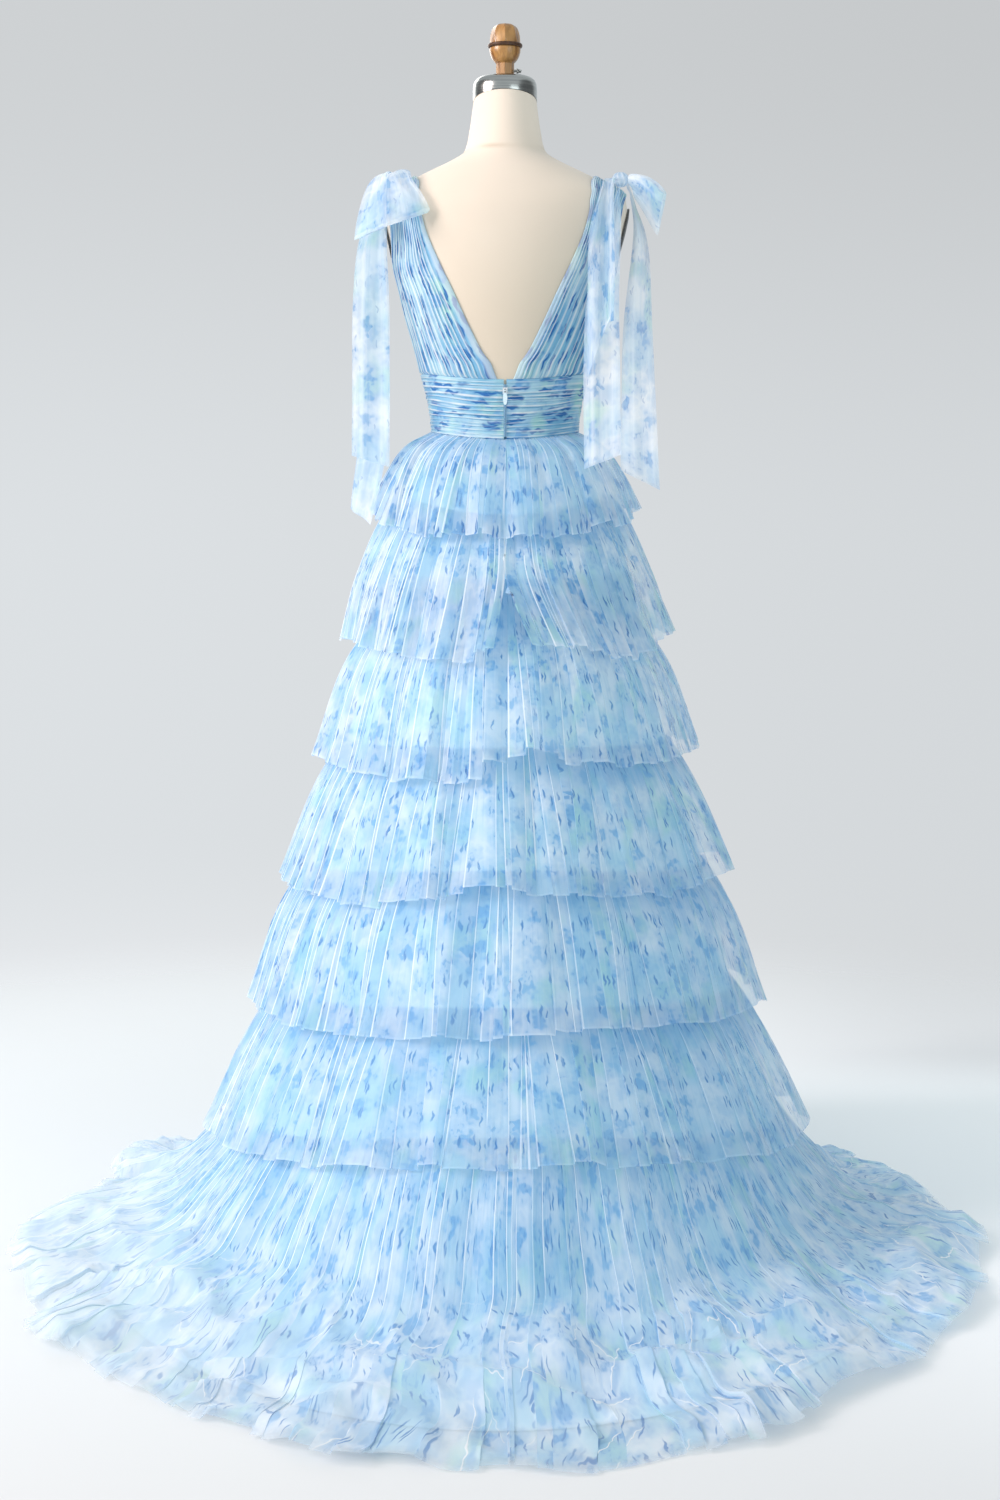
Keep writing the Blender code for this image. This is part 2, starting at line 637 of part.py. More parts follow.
FIRST_TIER = [
    (Section(0.1380, 1.0840, 0.1250, 1.0720, 0.1300, 1.0840), 0.0060),
    (Section(0.1680, 1.0380, 0.1780, 1.0220, 0.1680, 1.0380), 0.0090),
]
SLIT_TOP = Section(0.2060, 0.9000, 0.2450, 0.8960, 0.2000, 0.9020)
SLIT_TURNS = (0.004, 0.004, 0.004, 0.100)  # half the slit at each row of tier 2, in radians


def build_skirt(tulle, satin):
    """Seven gathered tiers over an underskirt. Each is sewn to it under the hem of the tier above."""
    seams = [inset(hem, SEAM_STEP, SEAM_RISE) for hem in TIER_HEMS]
    puffs = [inset(hem, TIER_STEP + PUFF_FOLD + CLOTH) for hem in TIER_HEMS]
    ends = [(around(inset(hem, HEM_FOLD + CLOTH)), HEM_FOLD) for hem in TIER_HEMS]
    starts = [[(around(s), SEAM_FOLD), (around(p), PUFF_FOLD)] for s, p in zip(seams, puffs)]

    under = [partial(waist_line, BODY_CLEARANCE)]
    under += [around(inset(seam, CLOTH + SEAM_GAP)) for seam in seams]
    under += [around(section) for section in UNDERSKIRT_TRAIN]
    angles = np.linspace(0, 2 * math.pi, UNDERSKIRT_POINTS, endpoint=False)
    inner = np.array([ring(angles) for ring in under])
    out = normals(inner, True)
    out[0, :, 2] = 0.0
    wall("underskirt", inner, inner + out * CLOTH, True, satin)

    top = (partial(waist_line, BODY_CLEARANCE + CLOTH + SEAM_GAP), SEAM_FOLD)
    first = [(around(section), depth) for section, depth in FIRST_TIER]
    cloth_ring("tier_1", [top, *first, ends[0]], 0, tulle)
    cloth_ring("tier_2", [*starts[0], (around(SLIT_TOP), 0.0085), ends[1]], 1, tulle, SLIT_TURNS)
    for number in range(3, 7):
        cloth_ring(f"tier_{number}", [*starts[number - 2], ends[number - 1]], number, tulle)
    train = [(around(section), depth) for section, depth in TRAIN]
    cloth_ring("tier_7", [*starts[5], *train], 8, tulle)


# ---------------------------------------------------------------- shoulder bows

KNOT_HALF = (0.0125, 0.0130, 0.0105)
KNOT_AT = (0.1645, 0.0020, 1.4627)  # the left one, and the right one mirrors it
ROOT_GAP = 0.0008  # from the knot to the middle of a ribbon's root
RIBBON_CLOTH = 0.0012

# For the wearer's left side: out is the way a loop leaves the knot, and width the way its ribbon spreads.
Loop = namedtuple("Loop", "name side out width length droop puff root_half end_half")
LOOPS = [
    Loop("left_inner", 1, (-0.34, 0.93, 0.24), (0.92, 0.30, -0.26), 0.062, 0.094, 0.0080, 0.0035, 0.0320),
    Loop("left_outer", 1, (0.58, 0.81, 0.06), (0.84, -0.46, -0.28), 0.056, 0.094, 0.0070, 0.0035, 0.0195),
    Loop("right_outer", -1, (0.84, 0.47, -0.28), (0.05, -0.10, -0.99), 0.053, 0.038, 0.0095, 0.0055, 0.0300),
]

# A tail's root is the way it leaves the knot, for the left side, and root_turn the angle of its width there,
# in degrees from the X axis. Slant is how much lower its +X corner is cut, and each row gives its middle,
# half its width, and the angle of its width.
Tail = namedtuple("Tail", "name side root root_turn slant rows")
TailRow = namedtuple("TailRow", "x y z half_width turn")
TAILS = [
    Tail("left_inner", 1, (0.30, 0.68, -0.67), -10, -0.008, [
        TailRow(0.1740, 0.0290, 1.4320, 0.0090, 0),
        TailRow(0.1870, 0.0400, 1.3700, 0.0200, 8),
        TailRow(0.1890, 0.0560, 1.2800, 0.0260, 8),
        TailRow(0.1890, 0.0660, 1.1700, 0.0265, 6),
        TailRow(0.1890, 0.0860, 1.0620, 0.0265, 2),
    ]),
    Tail("left_outer", 1, (0.90, 0.02, -0.44), -70, -0.012, [
        TailRow(0.1830, 0.0170, 1.4320, 0.0070, -30),
        TailRow(0.1850, 0.0220, 1.3700, 0.0120, -10),
        TailRow(0.1860, 0.0300, 1.2500, 0.0200, 6),
        TailRow(0.1870, 0.0440, 1.1000, 0.0220, -14),
        TailRow(0.2040, 0.0830, 0.9850, 0.0220, -48),
    ]),
    Tail("right_front", -1, (-0.55, 0.80, 0.05), -20, 0.047, [
        TailRow(-0.1410, 0.0600, 1.4500, 0.0120, -6),
        TailRow(-0.1350, 0.0850, 1.3800, 0.0175, -4),
        TailRow(-0.1340, 0.0930, 1.3200, 0.0190, -4),
        TailRow(-0.1330, 0.0980, 1.2600, 0.0185, -3),
        TailRow(-0.1325, 0.1000, 1.2250, 0.0175, -2),
    ]),
    Tail("right_middle", -1, (0.02, 0.72, -0.62), 0, 0.010, [
        TailRow(-0.1540, 0.0440, 1.4440, 0.0080, -4),
        TailRow(-0.1480, 0.0640, 1.3900, 0.0150, -6),
        TailRow(-0.1370, 0.0740, 1.2900, 0.0230, -8),
        TailRow(-0.1350, 0.0980, 1.1800, 0.0260, -10),
        TailRow(-0.1350, 0.1400, 1.0600, 0.0260, -12),
    ]),
    Tail("right_outer", -1, (0.80, -0.20, -0.55), -76, -0.014, [
        TailRow(-0.1840, -0.0040, 1.4280, 0.0070, -75),
        TailRow(-0.1930, 0.0020, 1.3700, 0.0140, -40),
        TailRow(-0.1890, 0.0240, 1.2500, 0.0210, -12),
        TailRow(-0.1900, 0.0440, 1.1300, 0.0250, -6),
        TailRow(-0.1910, 0.0680, 1.0360, 0.0280, -8),
    ]),
]
TAIL_OFF_FIGURE = 0.0085
LOOP_OFF_FIGURE = 0.0120
TAIL_FOLD = 0.0025
TAIL_ROOT_HALF = 0.0060
TAIL_STEPS = 10


def unit(vector):
    vector = np.asarray(vector, float)
    return vector / np.linalg.norm(vector)


def knot_surface(side, direction):
    """The point just off a knot's surface, in a direction given for the left side."""
    direction = unit(direction)
    reach = 1 / np.linalg.norm(direction / np.array(KNOT_HALF)) + ROOT_GAP
    return (np.array(KNOT_AT) + direction * reach) * (side, 1, 1)


def off_figure(points, gap):
    """Points moved out from the Z axis to where x and y lie on the ellipse of the figure that is raised
    and widened by the gap, if they lie inside it."""
    width, back, front = figure_size(points[..., 2] - gap)
    depth = np.where(points[..., 1] > 0, back, front)
    reach = np.hypot(points[..., 0] / (width + gap), points[..., 1] / (depth + gap))
    return points * np.stack([np.maximum(1, 1 / reach)] * 2 + [np.ones_like(reach)], axis=-1)


def bow_loop(loop, finish):
    """A loop of ribbon: its middle line runs out from the knot and back, drooping with the square of its
    reach, its two plies puff apart, and the ribbon widens with its reach."""
    mirror = (loop.side, 1, 1)
    out = unit(loop.out)
    sag = np.array([0.0, 0.0, -loop.droop])
    width = unit(loop.width - out * (np.array(loop.width) @ out))
    u = np.linspace(0, 1, 11)
    reach = 0.5 - 0.5 * np.cos(2 * math.pi * u)
    across = np.cross(out * loop.length + 2 * sag * reach[:, None], width)
    across /= np.linalg.norm(across, axis=1, keepdims=True)
    puff = loop.puff * np.sin(2 * math.pi * u) * (0.4 + 0.6 * reach) + 0.0013 * np.cos(math.pi * u)
    line = knot_surface(1, loop.out) + out * (loop.length * reach)[:, None] + sag * (reach**2)[:, None]
    line = line + across * puff[:, None]
    half = loop.root_half + (loop.end_half - loop.root_half) * reach**0.8
    v = np.linspace(-1, 1, 5)
    grid = off_figure(line[:, None, :] + width * (half[:, None] * v)[..., None], LOOP_OFF_FIGURE)
    along = np.gradient(grid, axis=0)
    out_of_cloth = np.cross(along, np.gradient(grid, axis=1))
    out_of_cloth /= np.linalg.norm(out_of_cloth, axis=2, keepdims=True)
    half_cloth = out_of_cloth * RIBBON_CLOTH / 2
    name = f"bow_{loop.name}_loop"
    return wall(name, (grid - half_cloth) * mirror, (grid + half_cloth) * mirror, False, finish)


def bow_tail(tail, finish):
    """A hanging end of the ribbon, gathered at the knot and folded lengthwise in a shallow wave."""
    root = TailRow(*knot_surface(tail.side, tail.root), TAIL_ROOT_HALF, tail.root_turn)
    table = np.array([root, *tail.rows])
    steps = np.arange(len(table))
    fine = np.linspace(0, len(table) - 1, TAIL_STEPS)
    x, y, z, half, turn = [curve_through(steps, table[:, k], fine) for k in range(5)]
    line = np.stack([x, y, z], axis=1)
    angle = np.radians(turn)
    width = np.stack([np.cos(angle), np.sin(angle), np.zeros_like(angle)], axis=1)
    out = np.stack([-np.sin(angle), np.cos(angle), np.zeros_like(angle)], axis=1)
    v = np.linspace(-1, 1, 5)
    fold = TAIL_FOLD * np.array([0, 1, 0, -1, 0]) * np.clip(fine / 2, 0, 1)[:, None]
    grid = line[:, None, :] + width[:, None, :] * (half[:, None] * v)[..., None]
    grid = off_figure(grid, TAIL_OFF_FIGURE) + out[:, None, :] * fold[..., None]
    grid[-1, :, 2] -= tail.slant * v
    half_cloth = out[:, None, :] * RIBBON_CLOTH / 2
    return wall(f"bow_{tail.name}_tail", grid - half_cloth, grid + half_cloth, False, finish)


def build_bows(tulle):
    for side, name in ((1, "left"), (-1, "right")):
        centre = (side * KNOT_AT[0], KNOT_AT[1], KNOT_AT[2])
        place = Matrix.Translation(centre) @ Matrix.Diagonal((*KNOT_HALF, 1.0))
        bm = bmesh.new()
        bmesh.ops.create_uvsphere(bm, u_segments=12, v_segments=8, radius=1.0, matrix=place)
        finish_mesh(f"bow_{name}_knot", bm, tulle, 60)
    for loop in LOOPS:
        bow_loop(loop, tulle)
    for tail in TAILS:
        bow_tail(tail, tulle)


# ---------------------------------------------------------------- the whole


def main():
    for old in list(bpy.data.objects):
        bpy.data.objects.remove(old)
    linen = material("linen", (0.80, 0.72, 0.60), 0.85)
    steel = material("steel", (0.62, 0.62, 0.63), 0.25, 1.0)
    wood = material("wood", (0.42, 0.24, 0.11), 0.45)
    dark_ring = material("dark_ring", (0.10, 0.06, 0.04), 0.40)
    iron = material("iron", (0.06, 0.06, 0.06), 0.55, 0.8)
    tulle = material("tulle", (0.55, 0.76, 0.93), 0.80)
    pleated = material("pleated_tulle", (0.45, 0.68, 0.92), 0.75)
    satin = material("satin", (0.50, 0.74, 0.92), 0.50)
    build_form(linen, steel, wood, dark_ring, iron)
    build_bodice(pleated)
    build_zip(satin, steel)
    build_skirt(tulle, satin)
    build_bows(tulle)


main()
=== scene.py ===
"""The looks of a ball gown on a dress form: printed tulle in seven gathered tiers, a pleated bodice with
shoulder bows, and a linen form with a steel neck cap and an oak finial. Metres, +Z up, the back towards +Y.
"""

import math
from collections import namedtuple

import bpy
import numpy as np
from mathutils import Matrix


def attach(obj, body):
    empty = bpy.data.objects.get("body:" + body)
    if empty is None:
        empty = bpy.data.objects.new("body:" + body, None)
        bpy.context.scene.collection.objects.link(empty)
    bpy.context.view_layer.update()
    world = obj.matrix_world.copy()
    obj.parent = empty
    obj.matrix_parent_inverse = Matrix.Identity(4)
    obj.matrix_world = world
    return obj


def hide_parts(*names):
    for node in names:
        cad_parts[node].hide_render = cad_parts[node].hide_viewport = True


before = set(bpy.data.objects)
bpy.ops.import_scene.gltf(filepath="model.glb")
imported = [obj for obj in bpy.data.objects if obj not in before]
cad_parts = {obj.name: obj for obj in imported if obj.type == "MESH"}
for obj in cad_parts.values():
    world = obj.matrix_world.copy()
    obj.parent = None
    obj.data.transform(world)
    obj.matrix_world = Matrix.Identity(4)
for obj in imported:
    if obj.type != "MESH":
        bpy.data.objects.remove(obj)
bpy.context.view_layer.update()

# ---------------- camera, light and floor
# A plain studio: a white floor that fades into a pale grey backdrop, one large soft key light from the
# gown's left, and a softer fill all round.

SENSOR = 36.0
LENS = 59.6
CAMERA_AT = (0.0072, 3.6, 0.98)
CAMERA_DOWN = math.atan(230 / 2483)
FLOOR_HALF = 4.0
FLOOR_MIDDLE = 0.35
FLOOR_SOLID = 1.30  # from the floor's middle to where it starts to fade into the backdrop
FLOOR_GONE = 2.75
FLOOR_TOP = -0.0006  # just under what rests on it


def linear(code):
    """The linear red, green and blue of a display colour that is written as six hexadecimal digits."""
    shares = np.array([int(code[i : i + 2], 16) for i in (0, 2, 4)]) / 255
    return tuple(np.where(shares <= 0.04045, shares / 12.92, ((shares + 0.055) / 1.055) ** 2.4).tolist())


def put(tree, kind, sockets=(), **settings):
    """Adds a shader node. Each socket gets its value, or a link where the value is another socket. A
    colour is three linear numbers or a code of six hexadecimal digits."""
    made = tree.nodes.new("ShaderNode" + kind)
    for name, value in settings.items():
        setattr(made, name, value)
    for name, value in dict(sockets).items():
        socket = made.inputs[name]
        if isinstance(value, bpy.types.NodeSocket):
            tree.links.new(value, socket)
        elif socket.type == "RGBA":
            socket.default_value = (*(linear(value) if isinstance(value, str) else value), 1.0)
        else:
            socket.default_value = value
    return made


def blend(tree, share, low, high):
    """A mix of two colours, each a socket or a colour."""
    return put(tree, "Mix", {0: share, 6: low, 7: high}, data_type="RGBA").outputs[2]


def sums(tree, operation, *values):
    """One step of arithmetic on numbers or sockets."""
    return put(tree, "Math", dict(enumerate(values)), operation=operation).outputs[0]


def times(tree, first, *others):
    """The product of numbers or sockets."""
    for other in others:
        first = sums(tree, "MULTIPLY", first, other)
    return first


def vectors(tree, operation, *values):
    """One step of arithmetic on vectors. Its outputs are a vector and a number."""
    return put(tree, "VectorMath", dict(enumerate(values)), operation=operation).outputs


def split(tree, value):
    """The three numbers of a vector or colour."""
    return put(tree, "SeparateXYZ", {0: value}).outputs


def stretched(tree, place, scale):
    """Coordinates multiplied along each axis."""
    return put(tree, "Mapping", {0: place, "Scale": scale}).outputs[0]


def object_place(tree):
    """Object coordinates."""
    return put(tree, "TexCoord").outputs["Object"]


def ramp(tree, value, low, high, start=0.0, end=1.0):
    """A number that goes smoothly from start to end while value goes from low to high."""
    sockets = {"Value": value, "From Min": low, "From Max": high, "To Min": start, "To Max": end}
    return put(tree, "MapRange", sockets, interpolation_type="SMOOTHSTEP").outputs[0]


def new_look(name):
    """An empty material and its node tree with an output node."""
    made = bpy.data.materials.new(name)
    made.use_nodes = True
    made.node_tree.nodes.clear()
    return made, made.node_tree


def show(tree, shader):
    """Sends a shader to the material's output."""
    put(tree, "OutputMaterial", {"Surface": shader})


camera = bpy.data.objects.new("camera", bpy.data.cameras.new("camera"))
camera.data.sensor_width = SENSOR
camera.data.lens = LENS
camera.location = CAMERA_AT
camera.rotation_euler = (math.pi / 2 - CAMERA_DOWN, 0, math.pi)
bpy.context.scene.collection.objects.link(camera)
bpy.context.scene.camera = camera
bpy.context.scene.view_settings.view_transform = "Standard"

world = bpy.data.worlds.new("studio")
bpy.context.scene.world = world
world.use_nodes = True
sky = world.node_tree
sky.nodes.clear()
sideways, _, height = split(sky, put(sky, "TexCoord").outputs["Generated"])
# Painted shade on the backdrop: darker on the gown's right, away from the key light. It also darkens upwards.
upper = blend(sky, ramp(sky, height, -0.02, 0.20), "DADEE1", "CCCFD1")
low = blend(sky, ramp(sky, sideways, -0.20, 0.12), "DDE0E2", "ECEEF1")
lower = blend(sky, ramp(sky, height, -0.24, -0.12), low, upper)
across = ramp(sky, sideways, -0.25, 0.25, 0.94, 1.03)
seen = put(sky, "Background", {"Color": lower, "Strength": across})
ray = put(sky, "LightPath").outputs
# Polished metal mirrors the dark sides of the studio.
flank = ramp(sky, sums(sky, "ABSOLUTE", sideways), 0.60, 0.95)
flank = times(sky, flank, ray["Is Glossy Ray"])
lit = put(sky, "Background", {"Color": "EDF6FB", "Strength": ramp(sky, flank, 0, 1, 0.73, 0.20)})
studio = put(sky, "MixShader", {0: ray["Is Camera Ray"], 1: lit.outputs[0], 2: seen.outputs[0]})
put(sky, "OutputWorld", {"Surface": studio.outputs[0]})

# Name, place, size in metres, power in watts and colour. Each one faces the gown's waist.
for name, place, size, power, colour in (
    ("key", (3.95, 1.8, 2.6), 2.2, 232, (1.0, 0.88, 0.865)),
    ("fill", (-2.6, 3.8, 1.2), 2.4, 34, (0.86, 0.97, 1.0)),
    ("front", (1.5, -3.5, 2.4), 2.4, 55, (1.0, 0.98, 0.95)),
):
    light = bpy.data.lights.new(name, "AREA")
    light.size = size
    light.energy = power
    light.color = colour
    lamp = bpy.data.objects.new(name, light)
    lamp.location = place
    towards = np.array([0.0, 0.3, 0.8]) - place
    level = math.hypot(towards[0], towards[1])
    lamp.rotation_euler = (math.atan2(level, -towards[2]), 0, math.atan2(-towards[0], towards[1]))
    bpy.context.scene.collection.objects.link(lamp)

floor_look, tree = new_look("floor_white")
place = vectors(tree, "SUBTRACT", object_place(tree), (0, FLOOR_MIDDLE, 0))[0]
reach = vectors(tree, "LENGTH", place)["Value"]
wide, near, _ = split(tree, place)
# The floor's tones are painted light and shade: lighter on the gown's right, where its cast shadow falls, darker
# on its left under the key light, darker towards the camera, and painted shade far back on the gown's right.
pale = blend(tree, ramp(tree, wide, -1.1, 0.6), "F9FBFB", "D9DEDF")
pale = blend(tree, ramp(tree, near, 0.0, 1.3, 0.0, 0.9), pale, "D0D1D0")
far = times(tree, ramp(tree, wide, 0.2, -0.9), ramp(tree, near, -0.9, -1.3))
pale = blend(tree, far, pale, "DBDDDE")
white = put(tree, "BsdfDiffuse", {"Color": pale}).outputs[0]
clear = put(tree, "BsdfTransparent").outputs[0]
gone = ramp(tree, reach, FLOOR_SOLID, FLOOR_GONE)
show(tree, put(tree, "MixShader", {0: gone, 1: white, 2: clear}).outputs[0])
floor_mesh = bpy.data.meshes.new("floor")
corners = [(x * FLOOR_HALF, y * FLOOR_HALF, FLOOR_TOP) for x, y in ((-1, -1), (1, -1), (1, 1), (-1, 1))]
floor_mesh.from_pydata(corners, [], [(0, 1, 2, 3)])
floor_mesh.materials.append(floor_look)
floor = bpy.data.objects.new("floor", floor_mesh)
bpy.context.scene.collection.objects.link(floor)

# ---------------- stand
# A round cast-iron base with a coarse black finish, and a drawn steel pole that screws into it. The
# form's body stands on the pole.


def noise(tree, place, scale, detail=2.0, **settings):
    """The outputs of a noise: a value and a colour."""
    return put(tree, "TexNoise", {"Vector": place, "Scale": scale, "Detail": detail}, **settings).outputs


def finish(tree, tone, roughness, bump, height, others=()):
    """A principled shader. Bump is its relief's strength and depth in metres, and height what it follows."""
    raised = put(tree, "Bump", {"Strength": bump[0], "Distance": bump[1], "Height": height}).outputs[0]
    sockets = {"Base Color": tone, "Roughness": roughness, "Normal": raised, **dict(others)}
    return put(tree, "BsdfPrincipled", sockets).outputs[0]


def solid_look(name, colour, roughness, metallic, grain_scale, grain, bump, stretch=(1, 1, 1)):
    """A hard finish whose colour and roughness vary with a noise on object coordinates, with a fine bump."""
    look, tree = new_look(name)
    cloud = noise(tree, stretched(tree, object_place(tree), stretch), grain_scale, 4.0)[0]
    dark = tuple(share * (1 - grain) for share in colour)
    tone = blend(tree, ramp(tree, cloud, 0.35, 0.65), dark, colour)
    rough = ramp(tree, cloud, 0.30, 0.70, roughness * 0.85, min(1.0, roughness * 1.15))
    show(tree, finish(tree, tone, rough, (0.3, bump), cloud, {"Metallic": metallic}))
    return look


def refinish(node, look):
    """Gives a CAD node its finish."""
    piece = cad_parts[node]
    if piece.material_slots:
        piece.material_slots[0].material = look
    else:
        piece.data.materials.append(look)


iron_look = solid_look("cast_iron", (0.045, 0.045, 0.047), 0.55, 0.6, 900.0, 0.5, 0.0006)
pole_look = solid_look("drawn_steel", (0.62, 0.62, 0.63), 0.28, 1.0, 160.0, 0.2, 0.0001, (1, 1, 0.05))
refinish("stand_base", iron_look)
refinish("stand_pole", pole_look)

# ---------------- the form's body
# A papier-mache torso covered in cream linen jersey, drawn tight over a general figure. The cover has a
# seam round the foot of the neck, and its arm holes are closed by steel plates.

SEAM_GAP = 0.0004
BODY_CLEARANCE = 0.0013  # from the figure to the cloth on it
FigureRow = namedtuple("FigureRow", "z half_width back front")
FIGURE = [FigureRow(*row) for row in (
    (0.800, 0.1480, 0.112, 0.100),  # underside
    (0.850, 0.1560, 0.120, 0.103),
    (0.900, 0.1600, 0.124, 0.104),  # hips
    (0.960, 0.1550, 0.118, 0.102),
    (1.020, 0.1360, 0.103, 0.098),
    (1.070, 0.1140, 0.088, 0.092),
    (1.103, 0.1030, 0.081, 0.088),  # waist
    (1.140, 0.1060, 0.083, 0.092),
    (1.190, 0.1180, 0.089, 0.102),
    (1.240, 0.1310, 0.094, 0.120),
    (1.275, 0.1405, 0.097, 0.128),  # bust
    (1.320, 0.1515, 0.100, 0.120),
    (1.360, 0.1610, 0.101, 0.106),
    (1.395, 0.1700, 0.100, 0.092),
    (1.424, 0.1735, 0.096, 0.080),
    (1.441, 0.1680, 0.090, 0.070),  # shoulder tip
    (1.456, 0.1430, 0.083, 0.060),
    (1.473, 0.1100, 0.074, 0.052),
    (1.487, 0.0800, 0.064, 0.047),
    (1.499, 0.0600, 0.0560, 0.0455),  # foot of the neck
    (1.508, 0.0555, 0.0530, 0.0442),
    (1.530, 0.0508, 0.0495, 0.0430),
    (1.571, 0.0448, 0.0445, 0.0420),
)]
NECK_SLANT = 0.26
NECK_SLANT_FROM = 1.510
NECK_TOP = 1.571
COVER_ROWS = 150
COVER_COLUMNS = 144
NECK_SEAM = 1.501
NECK_SEAM_HALF = 0.0016
NECK_SEAM_SINK = 0.006  # how far the seam draws the neck in, as a share of its radius


def stacked(*parts):
    """Arrays brought to one shape and joined along a new last axis."""
    return np.stack(np.broadcast_arrays(*parts), axis=-1)


def unit(vectors):
    """The vectors at length 1."""
    return vectors / np.linalg.norm(vectors, axis=-1, keepdims=True)


def steps_along(points, axis):
    """How far each point of a line or grid is from the next along that axis."""
    return np.linalg.norm(np.diff(points, axis=axis), axis=-1)


def summed(steps):
    """The running sums, from 0."""
    return np.concatenate([[0], np.cumsum(steps)])


def inner(count):
    """Ones, with a 0 at either end."""
    return np.pad(np.ones(count - 2), 1)


def rows_between(places, rows, at):
    """Smooth values between the rows of a table, as one cubic between each two places. Each row may be a
    number or an array, and a cubic's slopes are the means of the slopes on either side of its ends."""
    places, rows, at = np.asarray(places, float), np.asarray(rows, float), np.asarray(at, float)
    slopes = np.gradient(rows, places, axis=0)
    i = np.clip(np.searchsorted(places, at) - 1, 0, len(places) - 2)
    step = places[i + 1] - places[i]
    t = np.clip((at - places[i]) / step, 0.0, 1.0)
    shape = at.shape + (1,) * (rows.ndim - 1)
    step, t = step.reshape(shape), t.reshape(shape)
    start = (1 + 2 * t) * (1 - t) ** 2 * rows[i] + t * (1 - t) ** 2 * step * slopes[i]
    end = t * t * (3 - 2 * t) * rows[i + 1] - t * t * (1 - t) * step * slopes[i + 1]
    return start + end


def figure_size(z):
    """Half width, back depth and front depth of the figure at a height."""
    heights = [row.z for row in FIGURE]
    return [rows_between(heights, [row[part] for row in FIGURE], z) for part in (1, 2, 3)]


def figure_skin(angle, z, out):
    """A point of the figure, at an angle from the middle of the back and a height, moved out along its own
    normal, which is the gradient of (x / half width)^2 + (y / depth)^2."""
    step = 1e-4
    width, back, front = figure_size(z)
    above, below = figure_size(z + step), figure_size(z - step)
    width_slope, back_slope, front_slope = [(a - b) / (2 * step) for a, b in zip(above, below)]
    behind = np.cos(angle) > 0
    depth = np.where(behind, back, front)
    depth_slope = np.where(behind, back_slope, front_slope)
    x, y = width * np.sin(angle), depth * np.cos(angle)
    rise = -(x**2) * width_slope / width**3 - y**2 * depth_slope / depth**3
    normal = unit(stacked(x / width**2, y / depth**2, rise))
    return stacked(x, y, z) + normal * np.asarray(out)[..., None]


def surface(name, grid, look, around=False, cloth=None, marks=None, flip=False, sharp=50.0):
    """A mesh through a grid of points, rows by columns. Around joins the last column to the first. Cloth
    holds each point's place on the flat cloth, in metres, with one more column where the grid goes
    around, and marks holds named numbers for each point. Flip turns the faces round."""
    rows, columns = grid.shape[:2]
    wide = columns + 1 if around else columns
    r, c = np.meshgrid(np.arange(rows - 1), np.arange(wide - 1), indexing="ij")
    corners = [(r, c), (r, c + 1), (r + 1, c + 1), (r + 1, c)]
    if flip:
        corners = corners[::-1]
    quads = np.stack([row * columns + column % columns for row, column in corners], axis=-1).reshape(-1, 4)
    mesh = bpy.data.meshes.new(name)
    mesh.from_pydata(grid.reshape(-1, 3).tolist(), [], quads.tolist())
    if cloth is not None:
        places = np.stack([cloth[row, column] for row, column in corners], axis=2)
        mesh.uv_layers.new(name="cloth").data.foreach_set("uv", places.astype(np.float32).ravel())
    for mark, values in (marks or {}).items():
        values = np.broadcast_to(values, (rows, columns)).astype(np.float32)
        mesh.attributes.new(mark, "FLOAT", "POINT").data.foreach_set("value", values.ravel())
    mesh.shade_smooth()
    mesh.set_sharp_from_angle(angle=math.radians(sharp))
    mesh.materials.append(look)
    piece = bpy.data.objects.new(name, mesh)
    bpy.context.scene.collection.objects.link(piece)
    return piece


def stands_for(piece, slot, *nodes, body="gown_and_form"):
    """Rides a piece on its body and lets it stand for its CAD nodes, which it hides. The slot is not used."""
    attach(piece, body)
    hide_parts(*nodes)
    return piece


def marked(tree, name):
    """The value of a mark that the mesh carries."""
    return put(tree, "Attribute", attribute_name=name).outputs["Fac"]


linen_look, tree = new_look("linen_jersey")
place = object_place(tree)
cloud = noise(tree, place, 7.0)[0]
tone = blend(tree, ramp(tree, cloud, 0.3, 0.7), "E3D5C4", "E8DBCA")
# Painted shade: the linen is painted darker down the torso, below the neck.
tone = blend(tree, ramp(tree, split(tree, place)[2], 1.50, 1.22), tone, "D2C5B1")
knit = put(tree, "TexVoronoi", {"Vector": place, "Scale": 1300.0}).outputs["Distance"]
tone = blend(tree, ramp(tree, knit, 0.0, 0.9, 0.0, 0.05), tone, "C9B79C")
tone = blend(tree, marked(tree, "seam"), tone, "B9A68A")
nap = {"Sheen Weight": 0.25, "Sheen Roughness": 0.5}
show(tree, finish(tree, tone, 0.86, (0.15, 0.0004), knit, nap))

heights = np.linspace(FIGURE[0].z, NECK_TOP, COVER_ROWS)[:, None]
angles = np.linspace(0, 2 * math.pi, COVER_COLUMNS, endpoint=False)[None, :]
width, back, front = figure_size(heights)
depth = np.where(np.cos(angles) > 0, back, front) * np.cos(angles)
slant = NECK_SLANT * depth * np.clip((heights - NECK_SLANT_FROM) / (NECK_TOP - NECK_SLANT_FROM), 0, 1)
grid = stacked(width * np.sin(angles), depth, heights + slant)
neck_seam = NECK_SEAM + 0.004 * np.cos(angles) - 0.003 * np.sin(angles)
seam_depth = np.exp(-(((heights - neck_seam) / NECK_SEAM_HALF) ** 2))
grid[..., :2] *= (1 - NECK_SEAM_SINK * seam_depth)[..., None]
ends = [np.broadcast_to(grid[i].mean(axis=0), grid[i].shape) for i in (0, -1)]
grid = np.concatenate([ends[0][None], grid, ends[1][None]])
seam_marks = np.pad(seam_depth * 0.5, ((1, 1), (0, 0)))
cover = surface("form_cover", grid, linen_look, around=True, marks={"seam": seam_marks}, flip=True)
stands_for(cover, "linen", "form_body")

plate_look = solid_look("arm_plate_steel", (0.16, 0.15, 0.14), 0.40, 0.8, 300.0, 0.3, 0.0002)
for side in ("left", "right"):
    refinish(f"arm_plate_{side}", plate_look)

